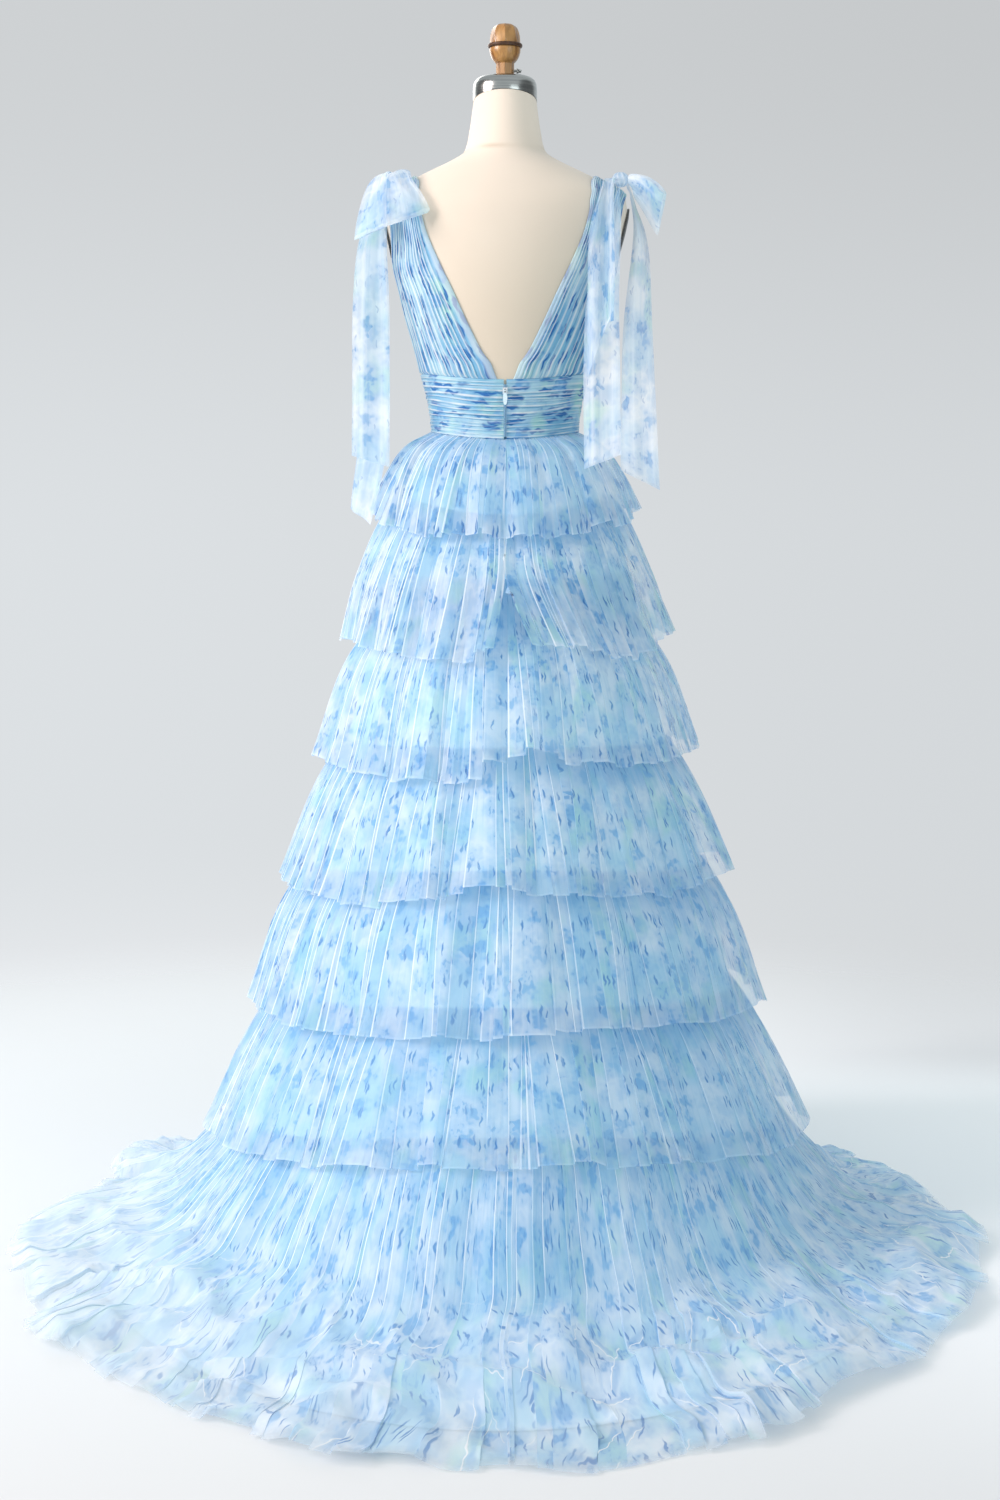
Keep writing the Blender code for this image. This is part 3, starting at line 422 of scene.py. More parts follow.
# ---------------- neck cap and finial
# A spun steel cap, brushed round, closes the neck. A turned oak finial with a flattened, eight-sided
# cap lifts off its spigot, and a small thumb screw clamps it.

CAP_TOP = 1.6066
SPIGOT_RADIUS = 0.0065
SPIGOT_TOP = CAP_TOP + 0.0140
CAP_PROFILE = [
    (0.0454, 1.5885),
    (0.0447, 1.5955),
    (0.0425, 1.6005),
    (0.0385, 1.6040),
    (0.0330, 1.6060),
    (0.0270, CAP_TOP),
    (SPIGOT_RADIUS, CAP_TOP),
    (SPIGOT_RADIUS, SPIGOT_TOP),
    (0.0002, SPIGOT_TOP),
]
ROUND_POINTS = 128
FINIAL = [  # how far up, radius, and the share of its eight flats
    (0.0146, 0.0002, 0.0),  # the bore over the spigot
    (0.0146, 0.0069, 0.0),
    (SEAM_GAP, 0.0069, 0.0),
    (SEAM_GAP, 0.0122, 1.0),  # the post
    (0.0012, 0.0128, 1.0),
    (0.0180, 0.0128, 1.0),
    (0.0192, 0.0135, 0.6),
    (0.0205, 0.0150, 0.0),  # the bowl
    (0.0232, 0.0173, 0.0),
    (0.0265, 0.0192, 0.0),
    (0.0300, 0.0206, 0.0),
    (0.0335, 0.0216, 0.0),
    (0.0370, 0.0220, 0.0),
    (0.0395, 0.0219, 0.0),
    (0.0400, 0.0210, 0.0),  # the groove that the ring lies in
    (0.0460, 0.0210, 0.0),
    (0.0465, 0.0214, 0.6),  # the cap
    (0.0510, 0.0214, 0.8),
    (0.0570, 0.0208, 1.0),
    (0.0620, 0.0196, 1.0),
    (0.0665, 0.0180, 1.0),
    (0.0690, 0.0162, 1.0),
    (0.0705, 0.0145, 1.0),
    (0.0724, 0.0110, 1.0),
    (0.0730, 0.0080, 1.0),
    (0.0731, 0.0002, 1.0),
]
RING_MIDDLE = 0.0430
RING_RADIUS = 0.0229
RING_HALF = (0.0018, 0.0027)  # half its depth and half its height

steel_look, tree = new_look("brushed_steel")
brush = noise(tree, stretched(tree, object_place(tree), (1, 1, 90)), 14.0)[0]
tone = blend(tree, ramp(tree, brush, 0.3, 0.7), "A3A4A2", "BDBDB9")
rough = ramp(tree, brush, 0.3, 0.7, 0.16, 0.24)
show(tree, finish(tree, tone, rough, (0.04, 0.0001), brush, {"Metallic": 1.0}))

turn = np.linspace(0, 2 * math.pi, ROUND_POINTS, endpoint=False)
width, back, front = [float(size) + 0.0006 for size in figure_size(np.array(NECK_TOP))]
depth = np.where(np.cos(turn) > 0, back, front) * np.cos(turn)
foot = np.stack([width * np.sin(turn), depth, NECK_TOP + SEAM_GAP + NECK_SLANT * depth], axis=1)
rings = [foot * (0.97, 0.97, 1), foot]
for radius, height in CAP_PROFILE:
    rings.append(stacked(radius * np.sin(turn), radius * np.cos(turn), height))
cap = surface("cap_shell", np.array(rings), steel_look, around=True, flip=True, sharp=28)
stands_for(cap, "steel", "neck_cap")

oak_look, tree = new_look("oak")
place = stretched(tree, object_place(tree), (1, 1, 0.16))
grain = put(tree, "TexNoise", {"Vector": place, "Scale": 260.0, "Detail": 5.0, "Distortion": 0.6}).outputs[0]
bands = noise(tree, place, 60.0)[0]
tone = blend(tree, ramp(tree, grain, 0.30, 0.70), "74491D", "AE7D43")
tone = blend(tree, ramp(tree, bands, 0.42, 0.60, 0.0, 0.45), tone, "C79858")
varnish = {"Coat Weight": 0.35, "Coat Roughness": 0.2}
show(tree, finish(tree, tone, 0.34, (0.25, 0.0003), grain, varnish))

eighth = math.pi / 4
octagon = math.cos(eighth / 2) / np.cos(np.mod(turn, eighth) - eighth / 2)
up, radius, facets = np.array(FINIAL).T[:, :, None]
reach = radius * (1 + facets * (octagon - 1))
grid = stacked(reach * np.cos(turn), reach * np.sin(turn), CAP_TOP + up)
finial = surface("finial_knob", grid, oak_look, around=True, sharp=32)
stands_for(finial, "oak", "finial", body="finial")

round_section = np.linspace(0, 2 * math.pi, 16)[:, None]
reach = RING_RADIUS + RING_HALF[0] * np.cos(round_section)
up = RING_HALF[1] * np.sin(round_section)
grid = stacked(reach * np.cos(turn), reach * np.sin(turn), CAP_TOP + RING_MIDDLE + up)
hoop_look = solid_look("dark_hoop", linear("54341A"), 0.45, 0.0, 300.0, 0.5, 0.0002)
hoop = surface("finial_hoop", grid, hoop_look, around=True)
stands_for(hoop, "dark_ring", "finial_ring", body="finial")
refinish("thumb_screw", steel_look)

# ---------------- underskirt
# The opaque layer that the tiers are sewn to: light blue satin, smooth, from the waist to a short train
# of its own on the floor.

CLOTH = 0.0013
TIER_STEP = 0.022  # from one tier's hem in to the tier below it
SEAM_STEP = 0.054  # from one tier's hem in to the seam of the tier below it
SEAM_RISE = 0.030  # how far that seam lies above the hem that hides it
BAND_BOTTOM = 1.1045
BAND_DIP = 0.0120
Section = namedtuple("Section", "side_x side_z back_y back_z front_y front_z full shift", defaults=(0, 0))
TIER_HEMS = [
    Section(0.205, 0.987, 0.222, 0.957, 0.200, 0.987),
    Section(0.248, 0.800, 0.297, 0.801, 0.238, 0.804, 0, -0.003),
    Section(0.286, 0.637, 0.367, 0.648, 0.276, 0.640, 0, -0.003),
    Section(0.338, 0.460, 0.435, 0.493, 0.314, 0.464, 0, -0.003),
    Section(0.381, 0.286, 0.510, 0.326, 0.350, 0.288, 0, -0.003),
    Section(0.447, 0.102, 0.597, 0.178, 0.388, 0.108, 0, -0.003),
]
UNDERSKIRT_TRAIN = [
    Section(0.4230, 0.0590, 0.6000, 0.1060, 0.3600, 0.0680),
    Section(0.4560, 0.0180, 0.6760, 0.0390, 0.3720, 0.0330, 0.02),
    Section(0.4850, 0.0035, 0.7650, 0.0055, 0.3790, 0.0115, 0.05, 0.004),
    Section(0.5380, 0.0012, 1.0000, 0.0012, 0.3840, 0.0012, 0.10, 0.008),
]
UNDERSKIRT_ROWS = 70
UNDERSKIRT_COLUMNS = 240
UNDERSKIRT_RADIUS = 0.3  # a middling one, for its place on the flat cloth
LOWEST = 0.0012  # where its middle lies on the floor


def inset(section, inwards, up=0.0):
    """The same section, smaller all round and raised."""
    x, y, z = -inwards, -inwards, up
    return Section(*(np.array(section) + (x, z, y, z, y, z, 0, 0)))


def ring_points(section, angles):
    """A ring through a section's side, back and front: x follows the sine and y the cosine of the angle
    from the middle of the back, and the height blends with the cosine's square. Full widens it between
    the side and the back."""
    behind = np.clip(np.cos(angles), 0, 1)
    before = np.clip(-np.cos(angles), 0, 1)
    fullness = 1 + section.full * np.clip(2 * np.abs(np.sin(angles)) * behind, 0, 1) ** 0.6
    x = section.side_x * np.sin(angles) * fullness + section.shift
    y = section.back_y * behind - section.front_y * before
    z = section.side_z + (section.back_z - section.side_z) * behind**2
    z = z + (section.front_z - section.side_z) * before**2
    return np.stack([x, y, z], axis=-1)


def band_dip(angles):
    """How far the waistband's edges lie lower towards the middle of the back."""
    return BAND_DIP * np.clip(np.cos(angles), 0, 1) ** 2


def waist_line(out, angles):
    """The ring just under the waistband, at a distance from the figure."""
    z = BAND_BOTTOM - band_dip(angles) - SEAM_GAP
    level = figure_skin(angles, z, out)
    level[:, 2] = z
    return level


def places_down(rings):
    """How far down the cloth each ring lies, as the mean distance between rings, summed."""
    return summed(steps_along(rings, 0).mean(axis=1))


def outwards(grid, around):
    """Unit normals of a grid of points, pointing away from the Z axis or upwards."""
    across = np.roll(grid, -1, axis=1) - np.roll(grid, 1, axis=1) if around else np.gradient(grid, axis=1)
    made = unit(np.cross(across, np.gradient(grid, axis=0)))
    away = unit(grid * (1, 1, 0)) + (0, 0, 1)
    return made * np.sign((made * away).sum(axis=2, keepdims=True))


satin_look, tree = new_look("blue_satin")
place = object_place(tree)
cloud = noise(tree, place, 5.0)[0]
tone = blend(tree, ramp(tree, cloud, 0.35, 0.65), "B0DAEF", "C2E4F3")
tone = blend(tree, ramp(tree, marked(tree, "hem"), 0.84, 0.97), tone, "EDF4F8")
weave = noise(tree, place, 900.0, 1.0)[0]
sheen = {"Sheen Weight": 0.3, "Sheen Roughness": 0.4}
show(tree, finish(tree, tone, 0.55, (0.1, 0.0003), weave, sheen))

angles = np.linspace(0, 2 * math.pi, UNDERSKIRT_COLUMNS, endpoint=False)
seams = [inset(hem, SEAM_STEP, SEAM_RISE) for hem in TIER_HEMS]
rings = [waist_line(BODY_CLEARANCE + CLOTH / 2, angles)]
rings += [ring_points(inset(seam, CLOTH + SEAM_GAP), angles) for seam in seams]
rings += [ring_points(section, angles) for section in UNDERSKIRT_TRAIN]
rings = np.array(rings)
down = places_down(rings)
at = np.linspace(0, down[-1], UNDERSKIRT_ROWS)
grid = rows_between(down, rings, at)
wave = 0.004 * np.sin(9 * angles + 0.7) + 0.003 * np.sin(14 * angles + 2.1)
away = np.clip(at / down[-1] - 0.1, 0, 1)[:, None] * (grid[..., 2] > 0.03)
grid = grid + outwards(grid, True) * (wave * away - 0.003 * away)[..., None]
grid[..., 2] = np.maximum(grid[..., 2], LOWEST)
cloth = stacked(np.append(angles, 2 * math.pi) * UNDERSKIRT_RADIUS, at[:, None])
marks = {"hem": (at / down[-1])[:, None]}
underskirt = surface("underskirt_satin", grid, satin_look, around=True, cloth=cloth, marks=marks)
stands_for(underskirt, "underskirt_cloth", "underskirt")

# ---------------- printed tulle
# Sky-blue tulle with a cloudy wash, soft mid-blue blotches, small flowers and dark dashes. It is a fine
# net, so light passes through it. Every pleat's edge is painted white as a highlight beside painted shade
# in its hollow, and the tiers are painted darker just below each hem and towards the floor.


def flat_noise(tree, place, scale, detail=1.0):
    """The outputs of a noise on the flat cloth: a value and a colour."""
    return noise(tree, place, scale, detail, noise_dimensions="2D")


def flat_cells(tree, place, scale):
    """The outputs of cells on the flat cloth: a distance, a colour and a position among them."""
    return put(tree, "TexVoronoi", {"Vector": place, "Scale": scale}, voronoi_dimensions="2D").outputs


def blotches(tree, tone, flat, bent):
    """Adds blurred blotches in warped cells, with a few finer strokes inside each."""
    cells = flat_cells(tree, bent, 27.0)
    pick = split(tree, cells["Color"])
    halo = ramp(tree, cells["Distance"], 0.75, 0.20, 0.0, 0.40)
    blotch = ramp(tree, cells["Distance"], 0.46, 0.12)
    blotch = times(tree, blotch, ramp(tree, pick[0], 0.15, 0.85, 0.15, 0.95))
    tone = blend(tree, sums(tree, "MAXIMUM", halo, blotch), tone, "72B0E3")
    strokes = flat_noise(tree, stretched(tree, flat, (1, 0.55, 1)), 210.0)[0]
    inside = ramp(tree, cells["Distance"], 0.36, 0.14)
    some = ramp(tree, pick[1], 0.35, 0.60, 0.0, 0.8)
    return blend(tree, times(tree, ramp(tree, strokes, 0.46, 0.72), inside, some), tone, "4F95D4")


def floor_creases(tree, tone, rise, flat, lying, side):
    """Where the cloth lies on the floor, paints it lighter, most on the gown's left where the key light falls,
    and adds short sharp creases, each a line of painted shade beside a painted highlight. A cell's crease
    runs through its middle, turned by the cell's own angle, and they are fewer where side, the object's x,
    is high. It gives the tone and the height that the bump follows."""
    # Painted light: the lying cloth is painted lighter, most on the gown's left, where the key light falls.
    painted_light = ramp(tree, side, 0.15, 0.60, 0.12, 0.55)
    tone = blend(tree, times(tree, lying, painted_light), tone, "F3FAFD")
    for scale, spread, about in ((12.0, 1.6, 0.0), (18.0, 2.4, 1.57)):
        cells = flat_cells(tree, flat, scale)
        own = split(tree, cells["Color"])
        turn = sums(tree, "MULTIPLY_ADD", own[0], spread, about - spread / 2)
        aside = put(tree, "CombineXYZ", {0: sums(tree, "COSINE", turn), 1: sums(tree, "SINE", turn)})
        off = vectors(tree, "SUBTRACT", flat, cells["Position"])[0]
        beside = vectors(tree, "DOT_PRODUCT", off, aside.outputs[0])["Value"]
        some = ramp(tree, own[1], 0.50, 0.80)
        fewer = ramp(tree, side, 0.20, 0.60, 1.0, 0.35)
        short = times(tree, ramp(tree, cells["Distance"], 0.72, 0.40), lying, some, fewer)
        # Each crease: a line of painted shade beside a painted highlight, which the bump also follows.
        crease_shade = sums(tree, "ABSOLUTE", sums(tree, "ADD", beside, 0.005))
        crease_shade = times(tree, ramp(tree, crease_shade, 0.006, 0.001, 0.0, 0.40), short)
        tone = blend(tree, crease_shade, tone, "6FABDD")
        white = sums(tree, "ABSOLUTE", sums(tree, "SUBTRACT", beside, 0.0008))
        white = times(tree, ramp(tree, white, 0.0012, 0.0003), short)
        tone = blend(tree, white, tone, "FCFEFF")
        rise = sums(tree, "MULTIPLY_ADD", white, 0.8, rise)
    return tone, rise


def printed_tulle(
    name, pale, deep, cover, dashes=1.0, edge_highlight=1.0, hollow_shade=0.5, often=0.52, shade_below_hem=0.0, crumpled=False
):
    """The tulle's finish. Its print is worked out on the flat cloth: slow noises wash pale to deep and add
    mint, blotches lie over them, and long cells give the dark dashes, which come more often where often
    is lower. Cover is the share of light that the cloth stops, edge and hollow how strongly the painted
    highlights on pleats and streaks and the painted shade in their hollows are drawn, and under how deep
    the painted shade is below the hem above; lower down, the cloth is painted darker towards the floor.
    Where the cloth lies on the floor, crumpled turns the dashes, fades the fine streaks, paints the cloth
    lighter towards the gown's left and adds short creases of painted highlight and shade."""
    look, tree = new_look(name)
    flat = put(tree, "UVMap", uv_map="cloth").outputs[0]
    side, _, up = split(tree, object_place(tree))
    hem, fold = marked(tree, "hem"), marked(tree, "fold")
    wash = split(tree, flat_noise(tree, flat, 11.0, 2.0)["Color"])
    tone = blend(tree, ramp(tree, wash[0], 0.41, 0.66), pale, deep)
    tone = blend(tree, ramp(tree, wash[1], 0.55, 0.70, 0.0, 0.65), tone, "B6EADA")

    bend = vectors(tree, "SUBTRACT", flat_noise(tree, flat, 75.0)["Color"], (0.5, 0.5, 0.5))[0]
    bent = vectors(tree, "MULTIPLY_ADD", bend, (0.03, 0.03, 0), flat)[0]
    tone = blotches(tree, tone, flat, bent)

    calm = vectors(tree, "SUBTRACT", bent, flat)[0]
    calm = vectors(tree, "MULTIPLY_ADD", calm, (0.3, 0.3, 0), flat)[0]
    along = calm
    if crumpled:
        lying = marked(tree, "lying")
        reach = times(tree, lying, 0.09)
        reach = put(tree, "CombineXYZ", {0: reach, 1: reach}).outputs[0]
        swirl = flat_noise(tree, flat, 10.0, 2.0)["Color"]
        along = vectors(tree, "MULTIPLY_ADD", swirl, reach, calm)[0]
    dash = flat_cells(tree, stretched(tree, along, (4.6, 1.0, 1)), 25.0)
    some = ramp(tree, split(tree, dash["Color"])[1], often, often + 0.20, 0.0, dashes)
    stroke = times(tree, ramp(tree, dash["Distance"], 0.04 + 0.24 * dashes, 0.10), some)
    tone = blend(tree, sums(tree, "MINIMUM", stroke, 1.0), tone, "2274BE")

    fine = flat_noise(tree, stretched(tree, flat, (1, 0.05, 1)), 170.0)[0]
    if crumpled:
        fine = blend(tree, ramp(tree, lying, 0.2, 1.0, 0.0, 0.85), fine, (0.5, 0.5, 0.5))
    # Fine streaks: a painted highlight on their ridges and painted shade in their hollows.
    tone = blend(tree, ramp(tree, fine, 0.58, 0.74, 0.0, 0.35 * edge_highlight), tone, "F4FBFF")
    tone = blend(tree, ramp(tree, fine, 0.42, 0.26, 0.0, 0.35 * hollow_shade), tone, "7AB8DC")

    # Painted shade just below the hem of the tier above.
    tone = blend(tree, ramp(tree, hem, 0.40, 0.14, 0.0, shade_below_hem), tone, "79B4DE")
    # Painted shade: the cloth is painted deeper towards the floor.
    tone = blend(tree, ramp(tree, up, 0.95, 0.15, 0.0, 0.20), tone, "86BBE0")
    # The fold mark paints shade in the pleats' hollows and a highlight along their edges, where the cloth also
    # lies double.
    tone = blend(tree, ramp(tree, fold, 0.0, -1.0, 0.0, hollow_shade), tone, "6BAFD8")
    line = ramp(tree, fold, 0.10, 0.75, 0.0, edge_highlight)
    tone = blend(tree, line, tone, "FBFEFF")
    rise = fine
    if crumpled:
        tone, rise = floor_creases(tree, tone, fine, calm, lying, side)
    rim = ramp(tree, hem, 0.982, 0.995, 0.0, 0.09)
    tone = blend(tree, rim, tone, "F4FAFF")

    sheen = {"Sheen Weight": 0.5, "Sheen Roughness": 0.35}
    front = finish(tree, tone, 0.7, (0.35, 0.0015), rise, sheen)
    through = put(tree, "BsdfTranslucent", {"Color": tone}).outputs[0]
    cloth = put(tree, "MixShader", {0: 0.34, 1: front, 2: through}).outputs[0]
    clear = put(tree, "BsdfTransparent").outputs[0]
    stops = sums(tree, "MULTIPLY_ADD", line, 0.3, cover)
    stops = sums(tree, "SUBTRACT", stops, ramp(tree, hem, 0.3, 0.9, 0.0, 0.14))
    if crumpled:
        stops = sums(tree, "MULTIPLY_ADD", lying, 0.24, stops)
        stops = sums(tree, "SUBTRACT", stops, ramp(tree, hem, 0.955, 1.0, 0.0, 0.45))
    else:
        stops = sums(tree, "ADD", stops, rim)
    stops = sums(tree, "MINIMUM", stops, 1.0)
    show(tree, put(tree, "MixShader", {0: stops, 1: clear, 2: cloth}).outputs[0])
    return look


skirt_look = printed_tulle("skirt_tulle", "F6FBFD", "C8E9F5", 0.68, edge_highlight=0.9, shade_below_hem=0.4)

# ---------------- the six hanging tiers
# Each tier is a strip of tulle, gathered into knife pleats along its top and sewn to the underskirt
# under the hem of the tier above. Its raw hem steps at every pleat. The second one is slit at the back.

FOLDS_PER_TIER = 20
FOLD_LIFTS = (0.0, 1.0, 0.85)
HEM_FOLD = 0.018
PUFF_FOLD = 0.007
SEAM_FOLD = 0.001
FIRST_TIER = [
    (Section(0.1380, 1.0840, 0.1250, 1.0720, 0.1300, 1.0840), 0.0060),
    (Section(0.1680, 1.0380, 0.1780, 1.0220, 0.1680, 1.0380), 0.0090),
]
SLIT_TOP = Section(0.2060, 0.9000, 0.2450, 0.8960, 0.2000, 0.9020)
SLIT_TURNS = ((0.003, 0.003), (0.003, 0.003), (0.004, 0.004), (0.075, 0.135))  # left and right of it
UNDER_SLIT = Section(0.1815, 0.9050, 0.2170, 0.9000, 0.1750, 0.9050)  # the third tier's start, under it
# Painted shade: the third tier is painted a deeper tone where it shows inside the slit.
SLIT_SHADE = 0.9  # how deep a blue the third tier shows in the slit
SLIT_SHADE_HALF = 0.030
TIER_ROWS = 30

# Across each knife pleat: where a column stands, as a share of the pleat's width and of the width of the
# pale line along its edge, and the column's lift and mark. The mark paints that line as a highlight,
# where the cloth also lies double, and shade in the hollow beside it.
PleatColumn = namedtuple("PleatColumn", "share lines lift mark")
PLEAT = [
    PleatColumn(0.00, 0.00, 0.00, -1.00),
    PleatColumn(0.12, 0.00, 0.10, -0.70),
    PleatColumn(0.34, 0.00, 0.34, -0.25),
    PleatColumn(0.60, 0.00, 0.60, 0.00),
    PleatColumn(1.00, -1.55, 0.88, 0.05),
    PleatColumn(1.00, -1.05, 0.97, 0.95),
    PleatColumn(1.00, -0.35, 1.00, 1.00),
    PleatColumn(1.00, -0.05, 1.00, 0.60),
]
EDGE_LINE = 0.0015  # the pale line's width, or less on a narrow pleat
EDGE_LINE_SHARE = 0.22
HIDDEN_CLOTH = 0.9  # cloth folded away behind a pleat, for each metre that shows
PLEAT_LEAN = 0.010  # how far a pleat's edge wanders sideways between its ends

# How far a tier's hem hangs above its ring, in metres, at each turn in degrees from the middle of the
# back towards the gown's left.
HEM_LIFTS = {
    1: [(-100, 0.004), (-76, 0.002), (-59, -0.009), (-47, 0.002), (-33, -0.006), (-20, -0.008), (-7, -0.001),
        (14, 0.002), (17, -0.007), (26, -0.009), (60, -0.010), (80, 0.004), (110, 0.002)],
    2: [(-100, 0.012), (-85, 0.016), (-62, 0.010), (-58, -0.008), (-28, -0.011), (-24, 0.002), (-10, 0.008),
        (-3, 0.012), (8, -0.006), (12, -0.018), (18, -0.017), (40, -0.006), (72, 0.010), (110, 0.004)],
    3: [(-100, 0.012), (-67, 0.017), (-50, 0.004), (-20, 0.006), (-12, 0.020), (-3, 0.026), (0, 0.010),
        (8.2, 0.011), (9.2, -0.018), (14, -0.019), (40, -0.013), (75, 0.000), (110, 0.004)],
    4: [(-100, 0.016), (-74, 0.024), (-60, 0.022), (-45, 0.004), (-36, 0.001), (-6, -0.001), (1, 0.011),
        (8, 0.010), (17.5, -0.006), (19, -0.011), (41, -0.012), (60, 0.000), (110, 0.004)],
    5: [(-100, 0.006), (-60, 0.010), (-20, 0.002), (1, -0.003), (17, 0.000), (20, -0.009), (28, -0.011),
        (60, 0.004), (110, 0.004)],
    6: [(-100, 0.004), (-60, 0.006), (-22, 0.001), (-4, -0.005), (5, -0.002), (13, 0.003), (23, -0.004),
        (36, -0.002), (70, 0.006), (110, 0.002)],
}


def fold_lift(angles, shift):
    """How far a tier's broad folds stand out at each angle, from 0 to 1: three points a fold, as in the
    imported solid, joined by straight lines."""
    steps = len(FOLD_LIFTS) * FOLDS_PER_TIER
    j = np.arange(steps)
    places = (j + 0.3 * np.sin(1.7 * j + shift)) / steps * 2 * math.pi
    fold = (j + shift) // len(FOLD_LIFTS) % FOLDS_PER_TIER
    lifts = np.array(FOLD_LIFTS)[(j + shift) % len(FOLD_LIFTS)] * (0.78 + 0.22 * np.sin(2.4 * fold + shift))
    return np.interp(angles, places, lifts, period=2 * math.pi)


def smooth(value, low, high):
    """A number from 0 to 1 that follows 3t^2 - 2t^3 while value goes from low to high."""
    t = np.clip((value - low) / (high - low), 0, 1)
    return t * t * (3 - 2 * t)


def knife_pleats(seed, count, around, closed=True):
    """Uneven pleats round a tier, wider and fainter towards the gown's right. They come as arrays with one
    value for each column of its grid: turn from 0 to 1, lean, lift, mark, strength, line, start, end,
    drop, tone and the pleat's middle. The mark and line paint a highlight where each pleat turns and shade
    in its hollow, and tone is painted shade over a pleat's face. Around is the length of the hem, which the
    pale lines are measured on."""
    draw = np.random.default_rng(seed)
    right = np.clip(-np.sin(2 * math.pi * (np.arange(count) + 0.5) / count), 0, 1)
    widths = np.exp(draw.normal(0, 0.62, count)).clip(0.35, 3.2) * (1 + 0.7 * right)
    edges = summed(widths) / widths.sum()
    share, lines, lift, mark = np.array(PLEAT).T
    wide = np.diff(edges)[:, None]
    line = np.minimum(EDGE_LINE / around, EDGE_LINE_SHARE * wide)
    turn = (edges[:-1, None] + wide * share + line * lines).ravel()
    leans = np.sin(np.arange(count + 1) * 0.9 + seed) * PLEAT_LEAN / around
    narrower = np.append(np.minimum(wide[:, 0], np.roll(wide[:, 0], 1)), 0)
    leans += draw.uniform(-0.32, 0.32, count + 1) * narrower
    leans[-1] = leans[0]
    within = (turn.reshape(count, -1) - edges[:-1, None]) / wide
    lean = (leans[:-1, None] + np.diff(leans)[:, None] * within).ravel()
    faint = 1 - 0.45 * right
    strength = draw.uniform(0.25, 1.0, count) * faint
    hidden = draw.uniform(0, 1, count) < 0.25 + 0.35 * right
    glow = np.where(hidden, 0.05, draw.uniform(0.45, 1.0, count)) * faint
    starts = np.where(draw.uniform(0, 1, count) < 0.6, -0.3, draw.uniform(-0.1, 0.4, count))
    stops = np.where(draw.uniform(0, 1, count) < 0.65, 2.0, draw.uniform(0.5, 1.2, count))
    drops = draw.uniform(-1, 1, count)
    drops = 0.6 * drops + draw.uniform(-1, 1, count)[np.cumsum(draw.uniform(0, 1, count) < 0.35) % count]
    pleat_shades = draw.uniform(-0.75, 0.06, count) * (draw.uniform(0, 1, count) < 0.55)
    middles = (edges[:-1] + edges[1:]) / 2
    each = [np.repeat(value, len(PLEAT)) for value in (strength, glow, starts, stops, drops, pleat_shades, middles)]
    every = [turn, lean, np.tile(lift, count), np.tile(mark, count), *each]
    if not closed:
        last = [1.0, lean[-1], 1.0, 1.0, *[value[-1] for value in each]]
        every = [np.append(value, end) for value, end in zip(every, last)]
        every[3][:2] = 1.0
        every[5][:8] = every[5][-9:] = 1.0
    return every


def pleated_ring(rows, shift, pleats, seed, row_count, depth, lifts, slit=None, opened=0.0):
    """A gathered tier as a grid. Rings and fold depths are joined down the cloth by cubics, the broad
    folds and then the knife pleats lift the cloth along its normal, and the hem steps at pleat edges.
    Opened is the share of the pleats' depth that is gone at the hem."""
    level = np.linspace(0, 2 * math.pi, 361)
    rough = np.array([ring(level) for ring, _ in rows])
    down = places_down(rough)
    around = steps_along(rough[-1], 0).sum()
    every = knife_pleats(seed, pleats, around, slit is None)
    turn, lean, lift, mark, strength, glow, starts, stops, drops, pleat_shades, middles = every
    rings = []
    for i, (ring, _) in enumerate(rows):
        left, right = (0.0, 0.0) if slit is None else slit[i]
        leaning = turn + lean * (down[i] / down[-1] - 0.3) * (slit is None or np.sin(math.pi * turn) ** 0.2)
        rings.append(ring(left + (2 * math.pi - left - right) * leaning))
    rings = np.array(rings)
    at = down[-1] * np.linspace(0, 1, row_count) ** 0.9
    v = (at / down[-1])[:, None]
    grid = rows_between(down, rings, at)
    folds = rows_between(down, [fold_depth for _, fold_depth in rows], at)[:, None]
    angles = (turn + lean * (v - 0.3)) * 2 * math.pi
    away = outwards(grid, slit is None)
    side = 0.72 + 0.28 * np.sin(angles + 0.35)
    shown = smooth(v, starts - 0.10, starts + 0.04) * (1 - smooth(v, stops - 0.20, stops))
    pleat = strength * side * shown
    deep = depth * (0.35 + 0.65 * smooth(v, 0.0, 0.7)) * (1 - opened * smooth(v, 0.45, 0.75))
    out = CLOTH / 2 + folds * fold_lift(angles, shift) + deep * pleat * (lift - 0.45)
    grid = grid + away * out[..., None]
    turns, raised = np.array(lifts).T
    hang = np.interp(np.mod(360 * middles + 180, 360) - 180, turns, raised, period=360)
    grid[..., 2] += smooth(v, 0.25, 1.0) * (hang + 0.0042 * drops)
    # The fold mark: painted shade in the hollows and over some pleats' faces, and a painted highlight along the
    # edges.
    hollows = np.minimum(mark * strength * side, pleat_shades * (1 - np.abs(mark)) * side)
    marks = {"fold": np.where(mark > 0.2, mark * glow * side, hollows) * shown, "hem": v}
    across = np.linalg.norm(np.diff(grid, axis=1, append=grid[:, :1]), axis=2)[-1]
    hidden = np.roll(lift, -1) < lift - 0.5
    across = across + hidden * HIDDEN_CLOTH * across.sum() / pleats
    wide = grid.shape[1] + (1 if slit is None else 0)
    return grid, stacked(summed(across)[:wide] + 7.3 * seed, at[:, None]), marks


